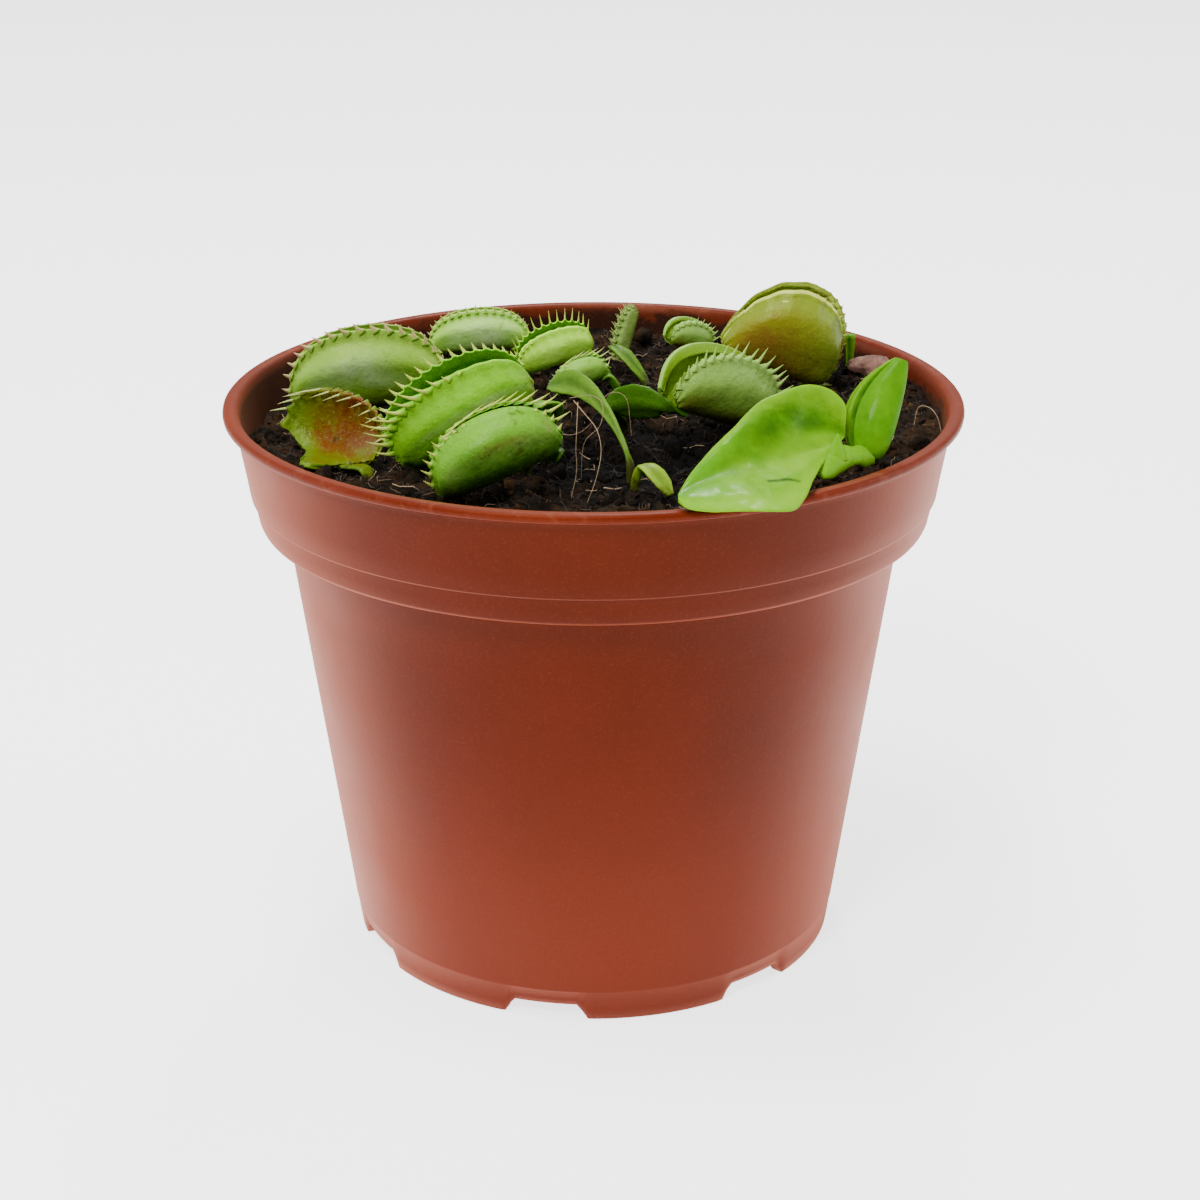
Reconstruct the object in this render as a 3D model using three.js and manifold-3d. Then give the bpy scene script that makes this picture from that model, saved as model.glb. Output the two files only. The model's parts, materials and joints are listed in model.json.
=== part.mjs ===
// Potted Venus flytrap in a round moulded nursery pot.
// Millimetres, +Z up. The origin is the centre of the pot's foot, on the table, and the front
// of the pot is toward -Y. Each leaf is one solid: a winged stalk with its trap at the end.

import * as THREE from 'three';
import { mergeVertices } from 'three/addons/utils/BufferGeometryUtils.js';
import Module from 'manifold-3d';

const wasm = await Module();
wasm.setup();

// Driving dimensions
const RIM_RADIUS = 45;
const POT_HEIGHT = 69.75;
const FOOT_RADIUS = 30.8;
const SHOULDER_RADIUS = 38.1;
const COLLAR_BOTTOM = 55.7;
const WALL = 0.9;
const FLOOR_UNDERSIDE = 2.6;
const FLOOR_THICKNESS = 1.1;
const NOTCHES = 7;
const NOTCH_HEIGHT = 2;
const SOIL_LEVEL = 64.4;
const GAP = 0.3;
const SLIVER = 0.012;
const LEAF_THICKNESS = 0.7;
const POT_SIDES = 48;
const SOIL_SIDES = 44;
const SOIL_RINGS = 11;

// Collar and lip, as radius and height, from the ledge upward
const LEDGE = { radius: 41.3, height: COLLAR_BOTTOM };
const SEAM = { radius: 42.2, height: 59.3, step: 0.3 };
const LIP = { thickness: 1.1, neck: 43.65, inner: 43.4 };

const Z_AXIS = new THREE.Vector3(0, 0, 1);
const radians = THREE.MathUtils.degToRad;
const vec = (x, y, z) => new THREE.Vector3(x, y, z);

// Solids and geometries

// A closed indexed geometry from vertices and triangles, with its faces turned outward.
function closedGeometry(vertices, triangles) {
  let volume = 0;
  for (const [i, j, k] of triangles) {
    volume += vertices[i].dot(vertices[j].clone().cross(vertices[k]));
  }
  const turned = volume < 0 ? triangles.map(([i, j, k]) => [i, k, j]) : triangles;
  const geometry = new THREE.BufferGeometry();
  geometry.setAttribute(
    'position',
    new THREE.Float32BufferAttribute(vertices.flatMap((v) => v.toArray()), 3),
  );
  geometry.setIndex(turned.flat());
  return geometry;
}

// A library geometry with only positions, its seams merged and its empty triangles dropped.
function welded(source) {
  const plain = source.clone();
  plain.deleteAttribute('normal');
  plain.deleteAttribute('uv');
  const merged = mergeVertices(plain, 1e-4);
  const place = merged.getAttribute('position');
  const vertices = [];
  for (let i = 0; i < place.count; i += 1) {
    vertices.push(new THREE.Vector3().fromBufferAttribute(place, i));
  }
  const index = Array.from(merged.getIndex().array);
  const triangles = [];
  for (let i = 0; i < index.length; i += 3) {
    const [a, b, c] = index.slice(i, i + 3);
    if (a !== b && b !== c && c !== a) triangles.push([a, b, c]);
  }
  return closedGeometry(vertices, triangles);
}

function solid(geometry) {
  return new wasm.Manifold(
    new wasm.Mesh({
      numProp: 3,
      vertProperties: new Float32Array(geometry.getAttribute('position').array),
      triVerts: new Uint32Array(geometry.getIndex().array),
    }),
  );
}

// The joined body's geometry, without the slivers that a union leaves.
function geometryOf(body) {
  const mesh = body.simplify(SLIVER).getMesh();
  const geometry = new THREE.BufferGeometry();
  geometry.setAttribute('position', new THREE.BufferAttribute(mesh.vertProperties, 3));
  geometry.setIndex(new THREE.BufferAttribute(mesh.triVerts, 1));
  return geometry;
}

// Stacks rings of equal length into a closed skin, with a fan over each end.
function skinOfRings(rings) {
  const count = rings[0].length;
  const vertices = rings.flat();
  const triangles = [];
  for (let r = 0; r + 1 < rings.length; r += 1) {
    for (let i = 0; i < count; i += 1) {
      const j = (i + 1) % count;
      const low = r * count;
      const high = low + count;
      triangles.push([low + i, low + j, high + j], [low + i, high + j, high + i]);
    }
  }
  for (const [start, flip] of [[0, true], [(rings.length - 1) * count, false]]) {
    for (let i = 1; i + 1 < count; i += 1) {
      const fan = [start, start + i, start + i + 1];
      triangles.push(flip ? [fan[0], fan[2], fan[1]] : fan);
    }
  }
  return closedGeometry(vertices, triangles);
}

// Pot

const wallRadius = (z) => FOOT_RADIUS + ((SHOULDER_RADIUS - FOOT_RADIUS) * z) / COLLAR_BOTTOM;
const collarInside = (z) => SEAM.radius - WALL + ((z - SEAM.height) * (LIP.neck - SEAM.radius))
  / (POT_HEIGHT - LIP.thickness - SEAM.height);

function potProfile() {
  const floorTop = FLOOR_UNDERSIDE + FLOOR_THICKNESS;
  const ring = FOOT_RADIUS - 1.7;
  const neckHeight = POT_HEIGHT - LIP.thickness;
  const innerLedge = LEDGE.height + WALL;
  return [
    [0, FLOOR_UNDERSIDE],
    [ring, FLOOR_UNDERSIDE],
    [ring, 0],
    [FOOT_RADIUS, 0],
    [SHOULDER_RADIUS, LEDGE.height - 0.1],
    [LEDGE.radius - 0.5, LEDGE.height],
    [LEDGE.radius, LEDGE.height + 0.4],
    [SEAM.radius - SEAM.step, SEAM.height - SEAM.step],
    [SEAM.radius, SEAM.height],
    [LIP.neck, neckHeight - 0.2],
    [RIM_RADIUS - 0.25, neckHeight + 0.1],
    [RIM_RADIUS, neckHeight + 0.4],
    [RIM_RADIUS - 0.1, POT_HEIGHT - 0.2],
    [RIM_RADIUS - 0.4, POT_HEIGHT],
    [LIP.inner, POT_HEIGHT],
    [collarInside(neckHeight), neckHeight - 0.2],
    [SEAM.radius - WALL, SEAM.height],
    [LEDGE.radius - WALL - 0.2, innerLedge],
    [SHOULDER_RADIUS - WALL, LEDGE.height - WALL],
    [wallRadius(floorTop) - WALL - 0.5, floorTop + 0.6],
    [wallRadius(floorTop) - WALL - 1.2, floorTop],
    [0, floorTop],
  ].map(([r, z]) => new THREE.Vector2(r, z));
}

// A wedge that cuts one notch through the foot, with sloped sides, at a bearing in degrees.
function notchCutter(bearing) {
  const halfWidth = 5;
  const slope = 1.4;
  const outline = new THREE.Shape();
  outline.moveTo(-halfWidth - slope / 2, -1);
  outline.lineTo(halfWidth + slope / 2, -1);
  outline.lineTo(halfWidth - slope * 0.6, NOTCH_HEIGHT - 0.5);
  outline.lineTo(halfWidth - slope, NOTCH_HEIGHT);
  outline.lineTo(slope - halfWidth, NOTCH_HEIGHT);
  outline.lineTo(slope * 0.6 - halfWidth, NOTCH_HEIGHT - 0.5);
  const reach = 8;
  const geometry = new THREE.ExtrudeGeometry(outline, { depth: reach, bevelEnabled: false });
  geometry.rotateX(Math.PI / 2);
  geometry.translate(0, -FOOT_RADIUS + reach * 0.6, 0);
  geometry.rotateZ(radians(bearing));
  return solid(welded(geometry));
}

function drainCutter(radius, bearing, distance) {
  const height = FLOOR_THICKNESS + 4;
  const geometry = new THREE.CylinderGeometry(radius, radius, height, 10);
  geometry.rotateX(Math.PI / 2);
  geometry.translate(0, -distance, FLOOR_UNDERSIDE + FLOOR_THICKNESS / 2);
  geometry.rotateZ(radians(bearing));
  return solid(welded(geometry));
}

function potGeometry() {
  const firstNotch = -11;
  const lathe = new THREE.LatheGeometry(potProfile(), POT_SIDES);
  lathe.rotateX(Math.PI / 2);
  let pot = solid(welded(lathe));
  for (let i = 0; i < NOTCHES; i += 1) {
    const bearing = firstNotch + (360 / NOTCHES) * i;
    pot = pot.subtract(notchCutter(bearing));
    pot = pot.subtract(drainCutter(2.6, bearing + 180 / NOTCHES, 20));
  }
  return geometryOf(pot.subtract(drainCutter(3, 0, 0)));
}

// Leaf stalks

// A winged stalk along a path of [x, y, z, half width, turn]. Its wings rise by `fold` of their
// width, and the turn rolls the blade about its own rib, in degrees.
function stalkGeometry(path, fold = 0.2) {
  const places = path.map(([x, y, z]) => vec(x, y, z));
  const curve = new THREE.CatmullRomCurve3(places, false, 'centripetal');
  const spans = path.length - 1;
  const chord = places[spans].clone().sub(places[0]).setZ(0);
  const across = chord.normalize().cross(Z_AXIS);
  const ringsPerSpan = 2;
  const rings = [];
  for (let i = 0; i <= spans * ringsPerSpan; i += 1) {
    const place = i / ringsPerSpan;
    const low = Math.min(Math.floor(place), spans - 1);
    const between = (key) => THREE.MathUtils.lerp(
      path[low][key] ?? 0, path[low + 1][key] ?? 0, place - low,
    );
    const centre = curve.getPoint(place / spans);
    const tangent = curve.getTangent(place / spans);
    const side = across.clone().addScaledVector(tangent, -across.dot(tangent)).normalize();
    side.applyAxisAngle(tangent, radians(between(4)));
    const up = side.clone().cross(tangent).normalize();
    const width = between(3);
    const edge = LEAF_THICKNESS / 2;
    const rib = LEAF_THICKNESS * 0.8;
    const section = [[-width, fold * width + edge], [0, edge], [width, fold * width + edge],
      [width, fold * width - edge], [0, -rib], [-width, fold * width - edge]];
    rings.push(section.map(([x, y]) => centre.clone().addScaledVector(side, x)
      .addScaledVector(up, y)));
  }
  return skinOfRings(rings);
}

// The buried end of a stalk: straight down from just over the soil.
const STALK_HALF_WIDTH = 0.9;
const STALK_FOOT = 59;
const buriedEnd = ([x, y]) => [
  [x, y, SOIL_LEVEL + 0.4, STALK_HALF_WIDTH], [x, y, STALK_FOOT, STALK_HALF_WIDTH],
];

// Traps

// The trap's own axes: a along the rib, b toward the opening, c toward the near lobe.
function trapAxes({ heading, rise, roll }) {
  const h = radians(heading);
  const r = radians(rise);
  const q = radians(roll);
  const a = vec(Math.cos(r) * Math.cos(h), Math.cos(r) * Math.sin(h), Math.sin(r));
  const up = Z_AXIS.clone().addScaledVector(a, -a.z).normalize();
  const out = a.clone().cross(up);
  const b = up.clone().multiplyScalar(Math.cos(q)).addScaledVector(out, Math.sin(q));
  const c = out.clone().multiplyScalar(Math.cos(q)).addScaledVector(up, -Math.sin(q));
  return { a, b, c };
}

const RIB_SHARE = 0.72;
const END_SHARE = 0.95;

// A point of the folded trap. s runs along the rib from -1 to 1, and w across it, from the far
// margin at -1 over the rib at 0 to the near margin at 1. A lobe swings through the angle
// `close` as it leaves the rib, so the section is an arc that bulges and comes back in.
function trapPoint(trap, axes, s, w) {
  const t = Math.abs(w);
  const side = w < 0 ? -1 : 1;
  const turn = (Math.PI / 2) * s * END_SHARE;
  const along = Math.sin(turn);
  const round = Math.cos(turn);
  const full = radians(trap.close);
  const height = (1 - Math.cos(full * t)) / (1 - Math.cos(full));
  const lobe = side < 0 ? trap.far : trap.near;
  const reach = trap.width * lobe.reach * height * round ** trap.square;
  const flare = trap.flare * Math.max(0, (t - 0.75) / 0.25) ** 2 * round ** 0.3;
  const bulge = trap.bulge * lobe.bulge * Math.sin(full * t) * round ** 0.55;
  const length = (trap.length / 2) * along * (1 - (1 - RIB_SHARE) * (1 - t) ** 1.6);
  return vec(...trap.at)
    .addScaledVector(axes.a, length + trap.lean * reach)
    .addScaledVector(axes.b, reach)
    .addScaledVector(axes.c, side * (bulge + flare + trap.gape * t * round ** 0.4));
}

// The tip of a marginal tooth that stands on the margin at s, on the near or the far lobe.
function toothTip(trap, axes, root, s, side) {
  const lean = side > 0 ? trap.nearTeeth : trap.farTeeth;
  const turn = (Math.PI / 2) * s * END_SHARE;
  const direction = axes.a.clone().multiplyScalar(lean[0] + lean[3] * Math.sin(turn))
    .addScaledVector(axes.b, lean[1])
    .addScaledVector(axes.c, side * lean[2])
    .normalize();
  const share = (side > 0 ? trap.near.tooth : trap.far.tooth) ?? 1;
  const length = trap.tooth * share * (0.6 + 0.4 * Math.cos(turn));
  return root.clone().addScaledVector(direction, length);
}

// Two lobes as one folded sheet, with a pointed tooth on every other step of each margin.
function trapGeometry(trap) {
  const axes = trapAxes(trap);
  const stations = 2 * trap.teeth + 1;
  const rows = trap.rows.map((w) => -w).reverse().concat([0], trap.rows);
  const vertices = [];
  const triangles = [];
  const quad = (a, b, c, d) => triangles.push([a, b, c], [a, c, d]);
  const last = rows.length - 1;
  for (let i = 0; i <= stations; i += 1) {
    const s = -1 + (2 * i) / stations;
    const skin = rows.map((w) => trapPoint(trap, axes, s, w));
    const middle = skin[0].clone().add(skin[last]).multiplyScalar(0.5);
    for (const point of skin) {
      const inward = middle.clone().sub(point);
      const depth = Math.min(LEAF_THICKNESS, inward.length() * 0.6);
      vertices.push(point, point.clone().addScaledVector(inward.normalize(), depth));
    }
  }
  const outer = (i, j) => 2 * (i * rows.length + j);
  const inner = (i, j) => outer(i, j) + 1;
  for (let i = 0; i < stations; i += 1) {
    for (let j = 0; j < last; j += 1) {
      quad(outer(i, j), outer(i + 1, j), outer(i + 1, j + 1), outer(i, j + 1));
      quad(inner(i, j), inner(i, j + 1), inner(i + 1, j + 1), inner(i + 1, j));
    }
    for (const [j, side] of [[0, -1], [last, 1]]) {
      const ring = [outer(i, j), outer(i + 1, j), inner(i + 1, j), inner(i, j)];
      if (side < 0) ring.reverse();
      const toothed = (i % 2 === 1) === (side > 0) && i > 0 && i < stations - 1;
      if (toothed) {
        const s = -1 + (2 * i + 1) / stations;
        const root = ring.reduce((sum, k) => sum.add(vertices[k]), vec(0, 0, 0));
        vertices.push(toothTip(trap, axes, root.multiplyScalar(0.25), s, side));
        const tip = vertices.length - 1;
        ring.forEach((k, n) => triangles.push([k, ring[(n + 1) % 4], tip]));
      } else {
        quad(...ring);
      }
    }
  }
  for (let j = 0; j < last; j += 1) {
    quad(outer(0, j), outer(0, j + 1), inner(0, j + 1), inner(0, j));
    quad(outer(stations, j + 1), outer(stations, j), inner(stations, j), inner(stations, j + 1));
  }
  return closedGeometry(vertices, triangles);
}

const BIG_ROWS = [0.38, 0.72, 1];
const SMALL_ROWS = [0.5, 1];

// A trap's sizes and bearings. Teeth lean by [a, b, c, fan] in the trap's own axes, and the fan
// spreads them toward the two ends of the rib.
function trapSpec(values) {
  return {
    near: { reach: 1, bulge: 1 }, far: { reach: 1, bulge: 1 }, gape: 0, lean: 0, square: 0.6,
    rows: BIG_ROWS, farTeeth: values.nearTeeth, ...values,
  };
}

// The same trap form again at another size, as on a younger leaf.
function scaledTrap(trap, scale, values) {
  const sizes = {};
  for (const key of ['length', 'width', 'bulge', 'gape', 'flare', 'tooth']) {
    sizes[key] = trap[key] * scale;
  }
  return { ...trap, ...sizes, rows: SMALL_ROWS, ...values };
}

const leftBackTrap = trapSpec({
  at: [-28.2, 10, 64.9], heading: 4, rise: 5, roll: -6,
  length: 20.2, width: 10.2, bulge: 3.6, close: 150, flare: 0.6,
  teeth: 17, tooth: 1.3, nearTeeth: [-0.75, 0.7, 0.1, 0.9],
});
const leftFrontTrap = trapSpec({
  at: [-32.2, -11.5, 64.9], heading: -34, rise: -5, roll: 4,
  length: 15, width: 7.6, bulge: 3.8, close: 100, flare: 0, gape: 0.2, square: 0.45,
  near: { reach: 0.16, bulge: 0.4, tooth: 0.3 }, teeth: 11, tooth: 2.8,
  nearTeeth: [-0.1, 0.15, 1, 0.6], farTeeth: [-0.2, -0.15, -1, 0.3],
});
const centreTrap = trapSpec({
  at: [-14, -13, 68.2], heading: 14, rise: 27, roll: 4,
  length: 18.5, width: 9.2, bulge: 3.6, close: 142, flare: 0.9, square: 0.45,
  teeth: 15, tooth: 2.9, nearTeeth: [-0.8, 0.6, 0.1, 0.7], farTeeth: [-0.5, 0.9, 0.1, 0.6],
});
const frontTrap = trapSpec({
  at: [-10, -25, 67.4], heading: 12, rise: 22, roll: 4,
  length: 15.6, width: 8.2, bulge: 3.4, close: 152, flare: 0.4, square: 0.48,
  far: { reach: 1.06, bulge: 1 },
  teeth: 14, tooth: 2.2, nearTeeth: [0, 0.9, 0.2, 0.9], farTeeth: [0.9, 0.25, -0.35, 0.4],
});
const rightMiddleTrap = trapSpec({
  at: [15, 1, 65.9], heading: 33, rise: -22, roll: -2,
  length: 15.5, width: 8.2, bulge: 3.4, close: 138, flare: 0.3,
  far: { reach: 1.06, bulge: 1.1 },
  teeth: 14, tooth: 2.2, nearTeeth: [0.4, 0.9, 0.1, 0.7], farTeeth: [0, 0.5, -0.6, 0.7],
});
const tallRightTrap = trapSpec({
  at: [22.2, 14, 68.6], heading: 8, rise: -22, roll: 2,
  length: 15.2, width: 10.6, bulge: 3.8, close: 158, flare: 0.6, lean: 0.12, square: 0.7,
  teeth: 15, tooth: 0.9, nearTeeth: [0.4, 0.9, 0.1, 0.6],
});

// Leaves: a trap, the end of its rib that the stalk leaves from, the stalk's way through the
// air, and the place where it enters the soil
const leaves = [
  { name: 'leaf_left_back', trap: leftBackTrap, end: 1, way: [], root: [-15.6, 9.4] },
  { name: 'leaf_left_front', trap: leftFrontTrap, end: 1, way: [], root: [-23.6, -18.4] },
  {
    name: 'leaf_back_left', end: 1, way: [], root: [-6.4, 29.6],
    trap: scaledTrap(leftBackTrap, 0.66, {
      at: [-15.3, 29, 67], heading: 2, rise: 4, length: 13.4, width: 5.6,
      teeth: 13, nearTeeth: [-0.1, 0.9, 0.1, 0.9],
    }),
  },
  {
    name: 'leaf_centre', trap: centreTrap, end: 1, way: [[-4.6, -8.4, 70.6, 1.1]],
    root: [-7, -3.6],
  },
  {
    name: 'leaf_front', trap: frontTrap, end: 1, way: [[-5.4, -19.2, 68.4, 0.8]],
    root: [-8, -14.4],
  },
  {
    name: 'leaf_back_centre', end: 1, way: [], root: [1.8, 25],
    trap: scaledTrap(centreTrap, 0.56, {
      at: [-4.6, 23, 66.9], rise: 16, teeth: 11, nearTeeth: [0, 1, 0, 0.7],
      farTeeth: [0, 1, 0, 0.7],
    }),
  },
  {
    name: 'leaf_small_centre', end: 1, way: [], root: [3.4, 15.6],
    trap: scaledTrap(frontTrap, 0.48, { at: [-1.2, 14.5, 66.3], teeth: 9 }),
  },
  {
    name: 'leaf_right_middle', trap: rightMiddleTrap, end: -1, root: [3.6, 3.4],
    way: [[7.4, -1, 69.4, 2.2, 76], [5, 0, 69.2, 2.4, 76], [3, 1.2, 68, 1.6, 60]],
  },
  { name: 'leaf_tall_right', trap: tallRightTrap, end: 1, way: [], root: [31.2, 17.6] },
  {
    name: 'leaf_back_right', end: 1, way: [], root: [17.8, 33.8],
    trap: scaledTrap(rightMiddleTrap, 0.46, { at: [12.6, 33, 66.9], teeth: 8 }),
  },
  {
    name: 'leaf_upright_back', end: -1, way: [], root: [4.2, 30],
    trap: scaledTrap(centreTrap, 0.44, {
      at: [5.2, 30, 69.2], heading: 0, rise: 80, roll: 0, width: 3, bulge: 1.3, teeth: 8,
      nearTeeth: [0.3, 1, 0, 0.4], farTeeth: [0.3, 1, 0, 0.4], tooth: 1,
    }),
  },
];

// Places a trap and joins its stalk to it. The stalk starts a little inside the end of the rib.
function leafSolid({ trap, end, way, root }) {
  const axes = trapAxes(trap);
  const start = trapPoint(trap, axes, end * 0.72, 0);
  const shoulder = trapPoint(trap, axes, end, 0).addScaledVector(axes.a, end * 0.6);
  const path = [[...start.toArray(), 0.8], [...shoulder.toArray(), 1.1], ...way,
    ...buriedEnd(root)];
  return solid(trapGeometry(trap)).add(solid(stalkGeometry(path)));
}

// Young leaves that have no trap yet, each a plain blade that stands in the soil
const youngLeaves = [
  {
    name: 'young_leaf_arched', root: [4.3, -13.5],
    way: [[2.8, -10.8, 68, 0.5], [0.6, -7.4, 70.4, 0.7], [-1.6, -4.4, 71.9, 1.2],
      [-3.4, -2.2, 71.6, 1.8], [-4.7, -0.8, 70, 1.9], [-5.2, -0.2, 68.2, 0.8]],
  },
  {
    name: 'young_leaf_back', root: [6.8, 20.4],
    way: [[5.4, 21.6, 66.6, 1], [3.8, 23.4, 68, 1.3], [2.5, 24.8, 68.6, 0.9]],
  },
  {
    name: 'young_leaf_front', root: [4.8, -20.6],
    way: [[5.6, -22.4, 66.8, 1.1], [6.8, -24.4, 66.6, 1.6], [7.9, -26.4, 65.9, 1.2]],
  },
  {
    name: 'young_leaf_right', root: [33.4, 20.6],
    way: [[33.4, 20.5, 68.6, 0.5], [33.3, 20.4, 71.6, 0.7]],
  },
];

const youngLeafSolid = ({ root, way }) => solid(
  stalkGeometry([...buriedEnd(root).reverse(), ...way], 0.3),
);

// The large glossy leaf that leans out over the front rim, and its young closed trap. Its blade
// runs between a lower edge, the rib and an upper edge, each a curve through a few points.
const largeBlade = {
  lower: [[9, -43.2, 70.9], [10.4, -44.3, 70.8], [13.5, -44.5, 70.6], [17.5, -44.5, 70.6],
    [20.6, -44, 70.6], [22.4, -41, 70.7], [23.4, -37.6, 71], [25.4, -32, 71.5],
    [27.3, -28.2, 72.6]],
  rib: [[9, -42.7, 71], [11.3, -39.8, 71.6], [15.2, -36.5, 72.2], [19.1, -34, 72.3],
    [23.2, -31, 72.2], [27.7, -27.6, 72.5]],
  upper: [[9, -42.2, 71.1], [10.2, -38.6, 71.9], [12.4, -35, 73.3], [15.2, -31.5, 74.9],
    [18.6, -27.5, 77], [21.8, -25.5, 77.8], [24.2, -24.5, 78], [26.7, -24, 77.2],
    [28.2, -24.8, 75.6], [28, -26.6, 73.4]],
  root: [13.2, -35.6],
};

function largeBladeGeometry() {
  const curves = ['lower', 'rib', 'upper'].map((key) => new THREE.CatmullRomCurve3(
    largeBlade[key].map((p) => vec(...p)), false, 'centripetal',
  ));
  const stations = 16;
  const across = [-1, -0.66, -0.33, 0, 0.33, 0.66, 1];
  const rings = [];
  for (let i = 0; i <= stations; i += 1) {
    const along = i / stations;
    const [lower, rib, upper] = curves.map((curve) => curve.getPoint(along));
    const up = upper.clone().sub(rib);
    const down = lower.clone().sub(rib);
    const tangent = curves[1].getTangent(along);
    const normal = tangent.clone().cross(up.clone().sub(down)).normalize();
    if (normal.z < 0) normal.negate();
    const span = (u) => rib.clone().addScaledVector(u < 0 ? down : up, Math.abs(u))
      .addScaledVector(normal, 0.9 * Math.sin(Math.PI * Math.abs(u)) * Math.sin(Math.PI * along));
    const half = LEAF_THICKNESS / 2;
    const top = across.map((u) => span(u).addScaledVector(normal, half));
    const bottom = across.map((u) => span(u).addScaledVector(normal, -half)).reverse();
    rings.push([...top, ...bottom]);
  }
  return skinOfRings(rings);
}

// A closed young trap: an almond with a rib behind and two lips that meet in front.
function budGeometry() {
  const foot = vec(29.7, -25.2, 69.6);
  const tip = vec(34.2, -20.6, 79.6);
  const axis = tip.clone().sub(foot);
  const length = axis.length();
  axis.normalize();
  const side = vec(0.8, -0.5, -0.2).addScaledVector(axis, -vec(0.8, -0.5, -0.2).dot(axis));
  side.normalize();
  const front = axis.clone().cross(side).normalize();
  const steps = 9;
  const sides = 10;
  const rings = [];
  for (let i = 0; i <= steps; i += 1) {
    const along = i / steps;
    const plump = Math.sin(Math.PI * (0.05 + 0.91 * along)) ** 0.7;
    const centre = foot.clone().addScaledVector(axis, length * along)
      .addScaledVector(side, 0.9 * Math.sin(Math.PI * along));
    const ring = [];
    for (let k = 0; k < sides; k += 1) {
      const turn = (2 * Math.PI * k) / sides;
      const groove = 1 - 0.16 * Math.exp(-((Math.cos(turn) + 1) ** 2) / 0.05);
      ring.push(centre.clone()
        .addScaledVector(side, 3.2 * plump * Math.cos(turn) * groove)
        .addScaledVector(front, 2.1 * plump * Math.sin(turn)));
    }
    rings.push(ring);
  }
  return skinOfRings(rings);
}

function largeLeafSolid() {
  const stalk = stalkGeometry([[14.6, -37.2, 72, 1.1], [13.6, -36.6, 69.6, 1],
    ...buriedEnd(largeBlade.root)]);
  const neck = stalkGeometry([[24.9, -28.9, 72.25, 2], [27.4, -27.2, 71.6, 2.1],
    [29.4, -25.8, 70.8, 2.1], [31, -24.2, 72.4, 1.6]]);
  return solid(largeBladeGeometry()).add(solid(stalk)).add(solid(neck)).add(solid(budGeometry()));
}

// Soil

// Points of the leaves that the surface has to pass under, with room to spare.
function pressPoints(solids) {
  const points = [];
  for (const body of solids) {
    const place = body.getMesh().vertProperties;
    for (let i = 0; i < place.length; i += 3) {
      if (place[i + 2] > SOIL_LEVEL - 1) points.push(place.slice(i, i + 3));
    }
  }
  return points;
}

// A bark chip on the soil: the middle of its flat underside, its half sizes and its bearing
const CHIP = { at: [35.9, 16.9, 67.4], half: [3.1, 1.8, 1.5], bearing: -25 };

// Height of the peat: a lumpy plane that rises to the right and sags in the middle.
function looseHeight(x, y) {
  const lumps = 0.35 * Math.sin(x * 0.55 + 1.3 * Math.sin(y * 0.31))
    + 0.3 * Math.sin(y * 0.62 + 1.1 * Math.sin(x * 0.27) + 2)
    + 0.2 * Math.sin((x + y) * 0.93);
  const rise = 3 * THREE.MathUtils.smoothstep(x, 20, 42);
  const back = 1.5 * THREE.MathUtils.smoothstep(y, 14, 36);
  const hollow = 0.9 * Math.exp(-((x - 3) ** 2 + (y + 8) ** 2) / 90);
  const seat = 1 - THREE.MathUtils.smoothstep(Math.hypot(x - CHIP.at[0], y - CHIP.at[1]), 4, 7.5);
  return THREE.MathUtils.lerp(
    SOIL_LEVEL + lumps + Math.max(rise, back) - hollow, CHIP.at[2] - GAP, seat,
  );
}

function soilHeight(x, y, pressed, stems) {
  const room = 0.8;
  const reach = 2.8;
  const bank = 0.5;
  let height = looseHeight(x, y);
  for (const [px, py, pz] of pressed) {
    const far = Math.hypot(x - px, y - py);
    if (far > reach + 3 || stems.some(([sx, sy]) => Math.hypot(px - sx, py - sy) < 1.2)) continue;
    height = Math.min(height, pz - room + bank * Math.max(0, far - reach));
  }
  return height;
}

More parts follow.
